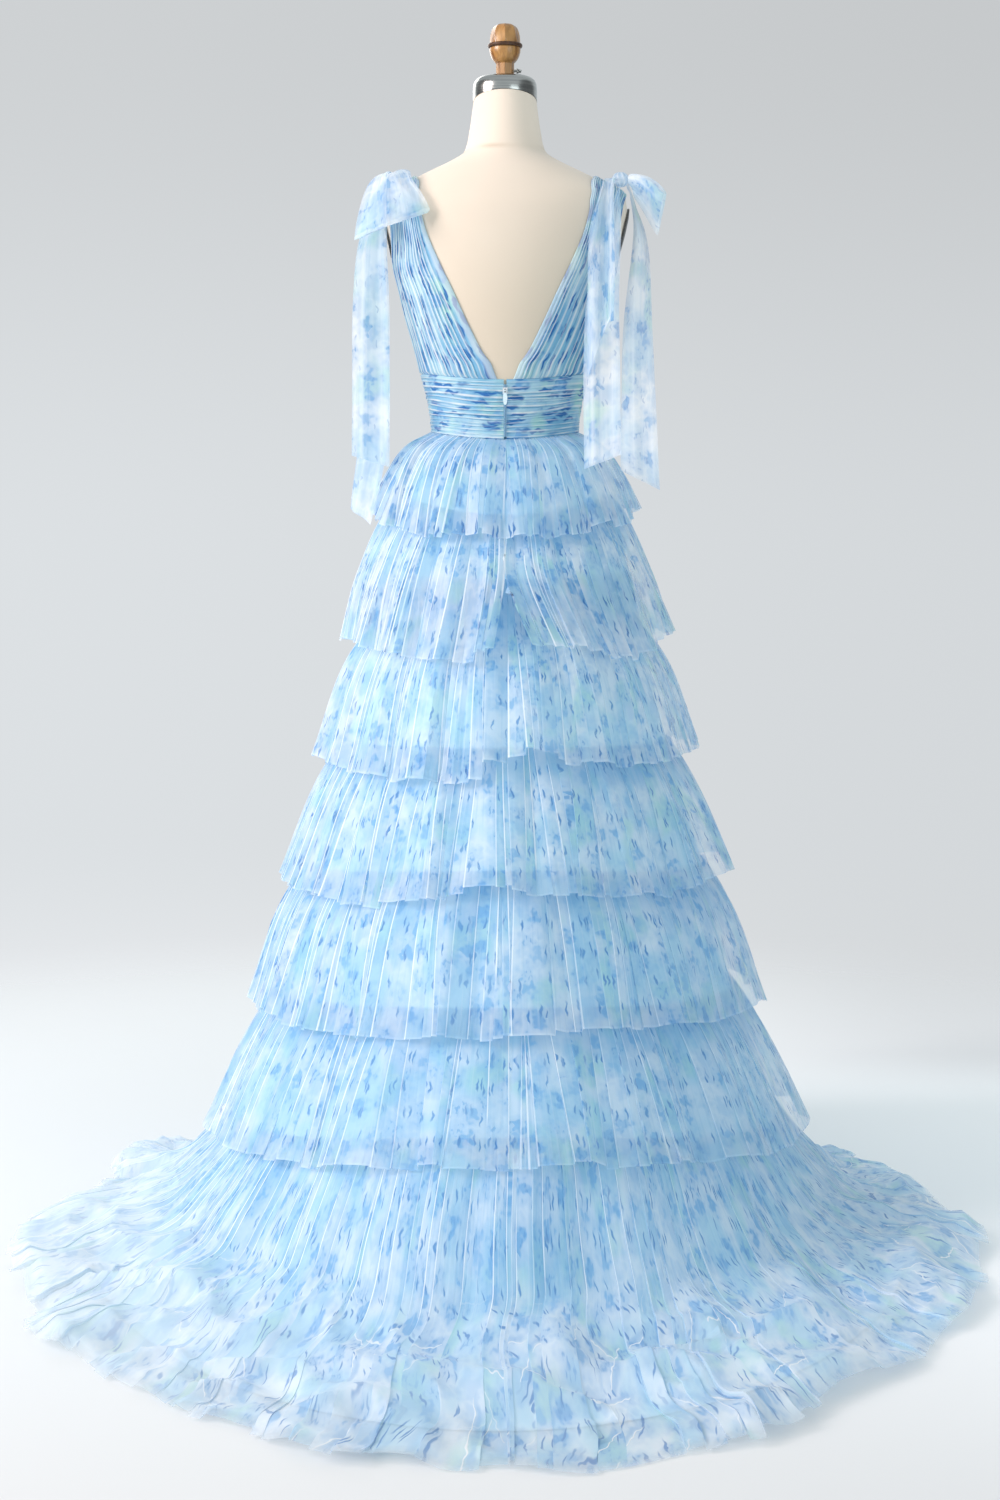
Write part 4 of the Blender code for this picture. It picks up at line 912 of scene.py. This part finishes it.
def sewn_tier(number, rows, pleats, row_count=TIER_ROWS, depth=0.0050, slit=None):
    """One hanging tier, with its finish and its place on the flat cloth."""
    shift = number - 1 if number < 3 else number
    lifts = HEM_LIFTS[number]
    grid, cloth, marks = pleated_ring(rows, shift, pleats, number, row_count, depth, lifts, slit)
    if number == 3:
        # Painted shade inside the slit.
        shade = SLIT_SHADE * np.exp(-((grid[..., 0] / SLIT_SHADE_HALF) ** 2)) * (grid[..., 1] > 0)
        shade = shade * (1 - smooth(marks["hem"], 0.05, 0.55))
        marks["fold"] = marks["fold"] * (1 - shade) - shade
    piece = surface(f"tulle_tier_{number}", grid, skirt_look, slit is None, cloth, marks, sharp=40)
    stands_for(piece, "skirt_tulle", f"tier_{number}")


def at_ring(section):
    """The ring of a section, as a function of the angles."""
    return lambda angles: ring_points(section, angles)


puffs = [inset(hem, TIER_STEP + PUFF_FOLD + CLOTH + 0.006) for hem in TIER_HEMS]
ends = [(at_ring(inset(hem, HEM_FOLD + CLOTH)), HEM_FOLD) for hem in TIER_HEMS]
starts = [[(at_ring(s), SEAM_FOLD), (at_ring(p), PUFF_FOLD)] for s, p in zip(seams, puffs)]
top = (lambda angles: waist_line(BODY_CLEARANCE + CLOTH + SEAM_GAP, angles), SEAM_FOLD)
first = [(at_ring(section), depth) for section, depth in FIRST_TIER]
sewn_tier(1, [top, *first, ends[0]], 96)
sewn_tier(2, [*starts[0], (at_ring(SLIT_TOP), 0.0085), ends[1]], 104, slit=SLIT_TURNS)
starts[1].insert(0, (at_ring(UNDER_SLIT), SEAM_FOLD))
for number, pleats in ((3, 108), (4, 116), (5, 122), (6, 128)):
    sewn_tier(number, [*starts[number - 2], ends[number - 1]], pleats)

# ---------------- the last tier and the train
# The longest strip. Its pleats open out where it meets the floor, and the train lies in a wide pool,
# rippled and crumpled, with a thin wavy edge.

TRAIN = [
    (Section(0.4520, 0.0560, 0.6400, 0.1030, 0.3900, 0.0640), 0.012),
    (Section(0.4860, 0.0220, 0.7100, 0.0390, 0.4010, 0.0340, 0.02), 0.013),
    (Section(0.5180, 0.0080, 0.8000, 0.0105, 0.4090, 0.0140, 0.06, 0.004), 0.013),
    (Section(0.5550, 0.0042, 0.9500, 0.0045, 0.4160, 0.0045, 0.10, 0.008), 0.012),
    (Section(0.5950, 0.0000, 1.1200, 0.0000, 0.4220, 0.0000, 0.17, 0.010), 0.010),
]
TRAIN_ROWS = 88
CREASE_RISE = 0.021
TRAIN_LOWEST = 0.0016


def value_noise(x, y, size, seed):
    """Smooth hills from -1 to 1: random heights on a square lattice of that size, joined across each
    square by 3t^2 - 2t^3 both ways."""
    table = np.random.default_rng(seed).uniform(-1, 1, (64, 64))
    i, j = np.floor(x / size).astype(int), np.floor(y / size).astype(int)
    s, t = smooth(x / size - i, 0, 1), smooth(y / size - j, 0, 1)
    low = table[i % 64, j % 64] * (1 - s) + table[(i + 1) % 64, j % 64] * s
    high = table[i % 64, (j + 1) % 64] * (1 - s) + table[(i + 1) % 64, (j + 1) % 64] * s
    return low * (1 - t) + high * t


def crumple(x, y, seed):
    """Sharp creases between soft hollows: two sizes of hills, folded over at zero."""
    broad = 1 - np.abs(value_noise(x, y, 0.15, seed)) * 2.2
    fine = 1 - np.abs(value_noise(x + 0.3 * y, y - 0.2 * x, 0.065, seed + 1)) * 2.2
    return 0.65 * np.clip(broad, -0.5, 1) + 0.35 * np.clip(fine, -0.5, 1)


train_look = printed_tulle("train_tulle", "F6FBFD", "C8E9F5", 0.68, dashes=0.95, edge_highlight=0.9, crumpled=True)
train_rows = [*starts[5], *[(at_ring(section), depth) for section, depth in TRAIN]]
grid, cloth, marks = pleated_ring(train_rows, 8, 132, 11, TRAIN_ROWS, 0.0060, [(0, 0), (180, 0)], opened=0.7)
lying = smooth(-grid[..., 2], -0.060, -0.008)
columns = np.arange(grid.shape[1]) // len(PLEAT)
ragged = np.random.default_rng(12).uniform(-1, 1, columns[-1] + 1)
ragged = 0.006 * ragged[columns] + 0.011 * ragged[columns // 4] + 0.008 * np.sin(columns * 0.37)
for axis, seed in ((0, 7), (1, 8)):
    grid[..., axis] += 0.012 * lying * value_noise(grid[..., 0], grid[..., 1], 0.10, seed)
ragged = ragged * smooth(marks["hem"], 0.80, 1.0) * lying
grid[..., :2] *= (1 + ragged / np.hypot(grid[..., 0], grid[..., 1]))[..., None]
creases = crumple(grid[..., 0], grid[..., 1], 5)
lift = lying * (CREASE_RISE * creases + 0.004) * (1 - 0.5 * smooth(marks["hem"], 0.93, 1.0))
grid[..., 2] = np.maximum(grid[..., 2] + lift, TRAIN_LOWEST + 0.003 * lying * np.clip(creases, 0, 1))
behind = smooth(grid[..., 1] / np.hypot(grid[..., 0], grid[..., 1]), 0.45, 0.85)
marks["fold"] = marks["fold"] * (1 - lying * (0.5 + 0.45 * behind))
marks["lying"] = lying
train = surface("tulle_train", grid, train_look, True, cloth, marks, sharp=40)
stands_for(train, "skirt_tulle", "tier_7")

# ---------------- bodice
# Four panels of the same tulle, laid in fine pleats that run from the waistband to the shoulder and are
# caught down on a fitted lining. Each panel's edges are turned in.

BAND_TOP = 1.1885
BODICE_CLOTH = 0.0016
# Each row of a panel: its inner edge's turn in degrees from the middle and height, then its outer edge's.
BACK_PANEL = [
    (5.5, BAND_TOP, 90, BAND_TOP),
    (13.9, 1.212, 90, 1.220),
    (22.6, 1.255, 90, 1.258),
    (29.3, 1.298, 90, 1.297),
    (35.9, 1.340, 90, 1.333),  # underarm
    (40.3, 1.375, 77, 1.366),
    (42.3, 1.406, 70, 1.396),
    (43.5, 1.430, 70, 1.419),
    (46.5, 1.443, 74, 1.430),
    (54.0, 1.453, 80, 1.436),
    (68.0, 1.461, 86, 1.439),
    (90.0, 1.466, 90, 1.440),  # shoulder line
]
FRONT_PANEL = [
    (0.0, BAND_TOP, 90, BAND_TOP),
    (0.0, 1.220, 90, 1.220),
    (5.0, 1.250, 90, 1.250),  # the foot of the front V
    (10.5, 1.275, 90, 1.275),
    (18.0, 1.307, 90, 1.303),
    (25.5, 1.342, 90, 1.333),
    (31.5, 1.375, 76, 1.366),
    (37.0, 1.406, 67, 1.396),
    (41.0, 1.430, 68, 1.419),
    (45.5, 1.443, 73, 1.430),
    (54.0, 1.453, 80, 1.436),
    (68.0, 1.461, 86, 1.439),
    (90.0, 1.466, 90, 1.440),
]
PANEL_PLEATS = 17
PANEL_ROWS = 90
PLEAT_STEPS = 8  # columns a pleat
PLEAT_RISE = 0.0022

bodice_look = printed_tulle("bodice_tulle", "C7E9F5", "8CC9E8", 1.0, 1.5, 0.75, 1.0, often=0.22)


def small_pleats(count, steps, seed):
    """Fine rounded pleats, as arrays across the cloth: the share of the way across, the lift, which
    follows the root of a half sine and leans to one side, and the mark of each column, which paints a
    highlight along each crest and shade in the fold between pleats."""
    draw = np.random.default_rng(seed)
    widths = np.exp(draw.normal(0, 0.36, count)).clip(0.5, 1.9)
    edges = summed(widths) / widths.sum()
    t = np.arange(steps) / steps
    share = (edges[:-1, None] + np.diff(edges)[:, None] * t).ravel()
    height = np.repeat(draw.uniform(0.45, 1.0, count), steps)
    t = np.tile(t, count)
    lift = np.sin(math.pi * t**0.85) ** 0.7 * height
    mark = 1.1 * smooth(np.sin(math.pi * t**0.7), 0.86, 1.0) - smooth(-np.sin(math.pi * t), -0.35, 0.0)
    return np.append(share, 1.0), np.append(lift, 0.0), np.append(mark * height, -1.0)


def bodice_panel(side, facing, table, seed):
    """A pleated panel: the table's two edges are joined across by equal angles and heights, and the
    pleats lift the cloth off the figure. The first and last columns and rows turn in to the figure."""
    share, lift, mark = small_pleats(PANEL_PLEATS, PLEAT_STEPS, seed)
    table = np.array(table)
    middle = np.stack([table[:, [0, 2]].mean(axis=1), table[:, [1, 3]].mean(axis=1)], axis=1)
    down = summed(np.hypot(np.diff(np.radians(middle[:, 0])) * 0.12, np.diff(middle[:, 1])))
    at = np.linspace(0, down[-1], PANEL_ROWS)
    inner_turn, inner_z, outer_turn, outer_z = rows_between(down, table, at).T[:, :, None]
    v = (at / down[-1])[:, None]
    sway = 0.006 * np.sin(7 * share + 5 * v + seed) * np.sin(math.pi * share)
    turn = np.radians(inner_turn + (outer_turn - inner_turn) * (share + sway))
    angle = turn if facing > 0 else math.pi - turn
    z = inner_z + (outer_z - inner_z) * share
    z = z - band_dip(angle) * smooth(-z, -BAND_TOP - 0.012, -BAND_TOP)
    fine = lift * (0.85 + 0.15 * np.sin(23 * v + 9 * share))
    rim = smooth(share, 0.0, 0.05) * smooth(1 - share, 0.0, 0.03)
    out = BODY_CLEARANCE + (BODICE_CLOTH + PLEAT_RISE * fine * rim) * inner(PANEL_ROWS)[:, None]
    out = out * np.where((share == 0) | (share == 1), 0.5, 1.0)
    grid = figure_skin(angle, z, out)
    grid += (SEAM_GAP / 2, facing * SEAM_GAP / 2, 0.0)
    grid[..., 0] *= side
    cloth = stacked(share * 0.17 + 3.1 * seed, at[:, None])
    # The turned-in edges get a half-strength pale line: a painted highlight, where the cloth also lies double.
    plain = smooth(share, 0.05, 0.09)
    marks = {"fold": mark * plain + 0.45 * (1 - plain) + 0 * v, "hem": 0.0}
    return grid, cloth, marks


for side, name in ((1, "left"), (-1, "right")):
    for facing, where, table in ((1, "back", BACK_PANEL), (-1, "front", FRONT_PANEL)):
        seed = 20 + side + 3 * facing
        grid, cloth, marks = bodice_panel(side, facing, table, seed)
        piece = surface(f"pleated_{where}_{name}", grid, bodice_look, False, cloth, marks, side * facing > 0, 70)
        stands_for(piece, "bodice_tulle", f"bodice_{where}_{name}")

# ---------------- waistband
# A fitted band with ruches that run round it, in three lengths: two at the back, parted by the zip, and
# one across the front. It covers the seam between the bodice and the first tier.

BAND_RUCHES = 14
RUCHE_STEPS = 7
RUCHE_RISE = 0.0022
BAND_HALF_ZIP_GAP = 0.00175
BAND_COLUMNS_PER_RADIAN = 60

band_look = printed_tulle("band_tulle", "BFE6F4", "89C8E8", 1.0, 1.5, 0.8, 1.0, often=0.22)


def band_piece(start, end, seed):
    """A stretch of band between two angles: the ruches lift it off the figure, each one wandering a
    little up and down along the band, and its ends and edges turn in."""
    share, lift, mark = small_pleats(BAND_RUCHES, RUCHE_STEPS, seed)
    columns = int(abs(end - start) * BAND_COLUMNS_PER_RADIAN)
    turned = math.copysign(0.002, end - start)
    angles = np.concatenate([[start], np.linspace(start + turned, end - turned, columns - 2), [end]])
    share, lift, mark = share[:, None], lift[:, None], mark[:, None]
    wander = 0.012 * np.sin(9 * share + 2.3 * angles + seed) + 0.008 * np.sin(5.1 * angles + 14 * share)
    placed = share + wander * np.sin(math.pi * share)
    z = BAND_BOTTOM + (BAND_TOP - BAND_BOTTOM) * placed - band_dip(angles)
    edges = np.where((share == 0) | (share == 1), 0.0, 1.0)
    fine = lift * (0.8 + 0.2 * np.sin(31 * angles + 17 * share))
    out = BODY_CLEARANCE + (BODICE_CLOTH + RUCHE_RISE * fine) * inner(columns) * edges
    grid = figure_skin(angles + 0 * z, z, out)
    cloth = stacked(share * 0.085 + 2.7 * seed, angles * 0.10)
    # The ruches' marks paint highlights on their crests and shade in their folds.
    marks = {"fold": mark * (0.75 + 0.25 * np.sin(13 * angles + 11 * share)), "hem": 0.0}
    return grid, cloth, marks


half_waist, waist_radius, _ = [float(size) for size in figure_size(np.array(BAND_BOTTOM))]
zip_angle = BAND_HALF_ZIP_GAP / half_waist
seam_angle = SEAM_GAP / 2 / waist_radius
quarter = math.pi / 2
for name, start, end, seed in (
    ("back_left", zip_angle, quarter - seam_angle, 31),
    ("back_right", -quarter + seam_angle, -zip_angle, 32),
    ("front", quarter + seam_angle, 3 * quarter - seam_angle, 33),
):
    grid, cloth, marks = band_piece(start, end, seed)
    piece = surface(f"ruched_band_{name}", grid, band_look, False, cloth, marks, True, 70)
    stands_for(piece, "bodice_tulle", f"waistband_{name}")

# ---------------- zip
# A hidden zip: a blue woven tape with its teeth inside, a small steel slider at its closed end, and a
# drop-shaped pull that swings on the slider's bridge. A narrow strip of cloth behind it faces the opening;
# its dark blue is painted shade in the gap.

FACING_HALF = 0.0055
FACING_TOP = 1.1600
FACING_OUT = 0.0007


def draw_on(look, share, code):
    """Draws a colour over a solid look's own, by a share."""
    tree = look.node_tree
    tone = tree.nodes["Principled BSDF"].inputs["Base Color"]
    tree.links.new(blend(tree, share, tone.links[0].from_socket, code), tone)


tape_look = solid_look("zip_tape", linear("A4D0EE"), 0.8, 0.0, 700.0, 0.25, 0.0003)
tree = tape_look.node_tree
across = sums(tree, "ABSOLUTE", split(tree, object_place(tree))[0])
draw_on(tape_look, ramp(tree, across, 0.0009, 0.0005), "24506F")
zip_steel = solid_look("zip_steel", linear("EEF2F4"), 0.25, 0.35, 400.0, 0.1, 0.0001)
tree = zip_steel.node_tree
across, _, up = split(tree, object_place(tree))
holes = ramp(tree, sums(tree, "PINGPONG", up, 0.00175), 0.0008, 0.0004)
middle = ramp(tree, sums(tree, "ABSOLUTE", across), 0.0016, 0.0010)
draw_on(zip_steel, times(tree, holes, middle), "2A4456")
pull_look = solid_look("zip_pull_enamel", linear("D9EEF6"), 0.25, 0.0, 500.0, 0.12, 0.0001)
refinish("zip_chain", tape_look)
refinish("zip_slider", zip_steel)
refinish("zip_pull", pull_look)

# Painted shade: the facing's dark blue stands for the shade in the gap beside the zip.
facing_shade_look = solid_look("zip_facing_shade", linear("3D7096"), 0.9, 0.0, 600.0, 0.3, 0.0003)
angles = np.linspace(-1, 1, 7) * FACING_HALF / waist_radius
z = np.linspace(BAND_BOTTOM - BAND_DIP, FACING_TOP, 20)[:, None]
facing = surface("zip_facing_shade_strip", figure_skin(angles + 0 * z, z, FACING_OUT), facing_shade_look, flip=True)
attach(facing, "gown_and_form")

# ---------------- shoulder bows
# Wide ribbons of the same tulle, tied over each shoulder strap. Each bow has a knot, loops that open
# like a fan, and hanging tails that are cut at a slant and lie over the bodice and the first tier.

KNOT_HALF = (0.0125, 0.0130, 0.0105)
KNOT_AT = (0.1645, 0.0020, 1.4627)
ROOT_GAP = 0.0008
TAIL_OFF_FIGURE = 0.0085
LOOP_OFF_FIGURE = 0.0120
TAIL_FOLD = 0.0025
TAIL_ROOT_HALF = 0.0060
Loop = namedtuple("Loop", "name side out width length droop puff root_half end_half")
LOOPS = [
    Loop("left_inner", 1, (-0.30, 0.94, 0.17), (0.87, 0.37, -0.33), 0.091, 0.084, 0.0080, 0.0070, 0.0360),
    Loop("left_outer", 1, (0.34, 0.93, 0.16), (0.93, -0.18, -0.32), 0.057, 0.094, 0.0070, 0.0090, 0.0255),
    Loop("right_outer", -1, (0.84, 0.47, -0.28), (0.05, -0.10, -0.99), 0.055, 0.034, 0.0095, 0.0110, 0.0290),
]
Tail = namedtuple("Tail", "name side root root_turn slant rows")
TailRow = namedtuple("TailRow", "x y z half_width turn")
TAILS = [
    Tail("left_inner", 1, (0.30, 0.68, -0.67), -10, -0.008, [
        TailRow(0.1740, 0.0290, 1.4320, 0.0090, 0),
        TailRow(0.1870, 0.0400, 1.3700, 0.0200, 8),
        TailRow(0.1890, 0.0560, 1.2800, 0.0260, 8),
        TailRow(0.1890, 0.0660, 1.1700, 0.0265, 6),
        TailRow(0.1890, 0.0860, 1.0620, 0.0265, 2),
    ]),
    Tail("left_outer", 1, (0.90, 0.02, -0.44), -70, -0.012, [
        TailRow(0.1830, 0.0170, 1.4320, 0.0070, -30),
        TailRow(0.1850, 0.0220, 1.3700, 0.0120, -10),
        TailRow(0.1860, 0.0300, 1.2500, 0.0200, 6),
        TailRow(0.1870, 0.0440, 1.1000, 0.0220, -14),
        TailRow(0.2040, 0.0830, 0.9850, 0.0220, -48),
    ]),
    Tail("right_front", -1, (-0.55, 0.80, 0.05), -20, 0.047, [
        TailRow(-0.1410, 0.0600, 1.4500, 0.0120, -6),
        TailRow(-0.1350, 0.0850, 1.3800, 0.0175, -4),
        TailRow(-0.1340, 0.0930, 1.3200, 0.0190, -4),
        TailRow(-0.1330, 0.0980, 1.2600, 0.0185, -3),
        TailRow(-0.1325, 0.1000, 1.2250, 0.0175, -2),
    ]),
    Tail("right_middle", -1, (0.02, 0.72, -0.62), 0, 0.010, [
        TailRow(-0.1540, 0.0440, 1.4440, 0.0080, -4),
        TailRow(-0.1480, 0.0640, 1.3900, 0.0150, -6),
        TailRow(-0.1370, 0.0740, 1.2900, 0.0230, -8),
        TailRow(-0.1350, 0.0980, 1.1800, 0.0260, -10),
        TailRow(-0.1350, 0.1400, 1.0600, 0.0260, -12),
    ]),
    Tail("right_outer", -1, (0.80, -0.20, -0.55), -76, -0.014, [
        TailRow(-0.1840, -0.0040, 1.4280, 0.0070, -75),
        TailRow(-0.1930, 0.0020, 1.3700, 0.0140, -40),
        TailRow(-0.1890, 0.0240, 1.2500, 0.0210, -12),
        TailRow(-0.1900, 0.0440, 1.1300, 0.0250, -6),
        TailRow(-0.1910, 0.0680, 1.0360, 0.0280, -8),
    ]),
]
RIBBON_PLEATS = 2
RIBBON_STEPS = 8
LOOP_ROWS = 72
TAIL_ROWS = 80

bow_look = printed_tulle("bow_tulle", "F6FBFE", "D2EAF7", 0.68, dashes=0.4, edge_highlight=0.5, hollow_shade=0.25)


def knot_surface(side, direction):
    """The point just off a knot's surface, in a direction given for the left side."""
    direction = unit(np.array(direction))
    reach = 1 / np.linalg.norm(direction / np.array(KNOT_HALF)) + ROOT_GAP
    return (np.array(KNOT_AT) + direction * reach) * (side, 1, 1)


def off_figure(points, gap):
    """Points moved out from the Z axis to where x and y lie on the ellipse of the figure that is raised
    and widened by the gap, if they lie inside it."""
    width, back, front = figure_size(points[..., 2] - gap)
    depth = np.where(points[..., 1] > 0, back, front)
    reach = np.hypot(points[..., 0] / (width + gap), points[..., 1] / (depth + gap))
    return points * np.stack([np.maximum(1, 1 / reach)] * 2 + [np.ones_like(reach)], axis=-1)


def ribbon_pleats(seed):
    """Uneven lengthwise folds of a ribbon: each column's place from -1 to 1, its lift and its mark."""
    share, lift, mark = small_pleats(RIBBON_PLEATS, RIBBON_STEPS, seed)
    return 2 * share - 1, lift, mark


def ribbon(name, node, grid, lengths, marks, seed):
    """A ribbon's mesh with its place on the flat cloth and its finish."""
    widest = steps_along(grid, 1).sum(axis=1).max()
    u = np.linspace(0, max(widest, 0.02), grid.shape[1]) + 1.9 * seed
    cloth = stacked(u, lengths[:, None])
    piece = surface(name, grid, bow_look, False, cloth, marks, sharp=60)
    stands_for(piece, "bow_tulle", node)


def bow_loop(loop, seed):
    """A loop of ribbon: its middle line runs out from the knot and back, drooping with the square of its
    reach, its two plies puff apart, and the ribbon widens with its reach."""
    out = unit(np.array(loop.out))
    sag = np.array([0.0, 0.0, -loop.droop])
    width = unit(loop.width - out * (np.array(loop.width) @ out))
    u = np.linspace(0, 1, LOOP_ROWS)
    reach = 0.5 - 0.5 * np.cos(2 * math.pi * u)
    across = unit(np.cross(out * loop.length + 2 * sag * reach[:, None], width))
    puff = loop.puff * np.sin(2 * math.pi * u) * (0.4 + 0.6 * reach) + 0.0013 * np.cos(math.pi * u)
    line = knot_surface(1, loop.out) + out * (loop.length * reach)[:, None] + sag * (reach**2)[:, None]
    line = line + across * puff[:, None]
    half = loop.root_half + (loop.end_half - loop.root_half) * reach
    v, lift, mark = ribbon_pleats(seed)
    grid = off_figure(line[:, None, :] + width * (half[:, None] * v)[..., None], LOOP_OFF_FIGURE)
    out_of_cloth = unit(np.cross(np.gradient(grid, axis=0), np.gradient(grid, axis=1)))
    fade = 0.35 + 0.65 * (1 - reach)[:, None]
    grid = (grid + out_of_cloth * (0.0016 * lift * fade)[..., None]) * (loop.side, 1, 1)
    lengths = summed(steps_along(line, 0))
    # A painted highlight along the loop's bend, where the ribbon also lies double.
    bend = 1.2 * smooth(reach, 0.955, 1.0)[:, None]
    marks = {"fold": mark * fade * 0.9 + bend, "hem": np.abs(v) ** 2}
    ribbon(f"ribbon_{loop.name}_loop", f"bow_{loop.name}_loop", grid, lengths, marks, seed)


def bow_tail(tail, seed):
    """A hanging end of ribbon, gathered at the knot and folded lengthwise in a shallow wave."""
    root = TailRow(*knot_surface(tail.side, tail.root), TAIL_ROOT_HALF, tail.root_turn)
    table = np.array([root, *tail.rows])
    fine = np.linspace(0, len(table) - 1, TAIL_ROWS)
    x, y, z, half, turn = rows_between(np.arange(len(table)), table, fine).T
    line = stacked(x, y, z)
    angle = np.radians(turn)
    width = stacked(np.cos(angle), np.sin(angle), 0.0)
    out = stacked(-np.sin(angle), np.cos(angle), 0.0)
    v, lift, mark = ribbon_pleats(seed)
    fold = TAIL_FOLD * np.sin(math.pi * v) * np.clip(fine / 2, 0, 1)[:, None] + 0.0014 * lift
    grid = line[:, None, :] + width[:, None, :] * (half[:, None] * v)[..., None]
    grid = off_figure(grid, TAIL_OFF_FIGURE) + out[:, None, :] * fold[..., None]
    grid[..., 2] -= tail.slant * v * smooth(fine, len(table) - 2.0, len(table) - 1.0)[:, None]
    lengths = summed(steps_along(line, 0))
    sheer = np.abs(v) ** 3 + 0 * fine[:, None]
    sheer[-1] = 1.0
    # The tail's marks paint highlights on its folds' crests and shade between them.
    marks = {"fold": mark * 0.7 + 0 * fine[:, None], "hem": sheer}
    ribbon(f"ribbon_{tail.name}_tail", f"bow_{tail.name}_tail", grid, lengths, marks, seed)


for side, name in ((1, "left"), (-1, "right")):
    v = np.linspace(0, math.pi, 24)[:, None]
    u = np.linspace(0, 2 * math.pi, 48, endpoint=False)
    bulge = 1 + 0.05 * np.sin(9 * u + 2 * v) * np.sin(v)
    ball = stacked(np.sin(v) * np.cos(u), np.sin(v) * np.sin(u), np.cos(v))
    grid = ball * bulge[..., None] * KNOT_HALF + KNOT_AT
    grid[..., 0] *= side
    cloth = stacked(np.linspace(0, 0.07, 49) + side, v * 0.012)
    # Stripes of painted highlight and shade round the knot's folds.
    marks = {"fold": np.sin(9 * u + 2 * v) * 0.8, "hem": 0.0}
    knot = surface(f"ribbon_{name}_knot", grid, bow_look, True, cloth, marks, side < 0)
    stands_for(knot, "bow_tulle", f"bow_{name}_knot")
for seed, loop in enumerate(LOOPS, 40):
    bow_loop(loop, seed)
for seed, tail in enumerate(TAILS, 50):
    bow_tail(tail, seed)
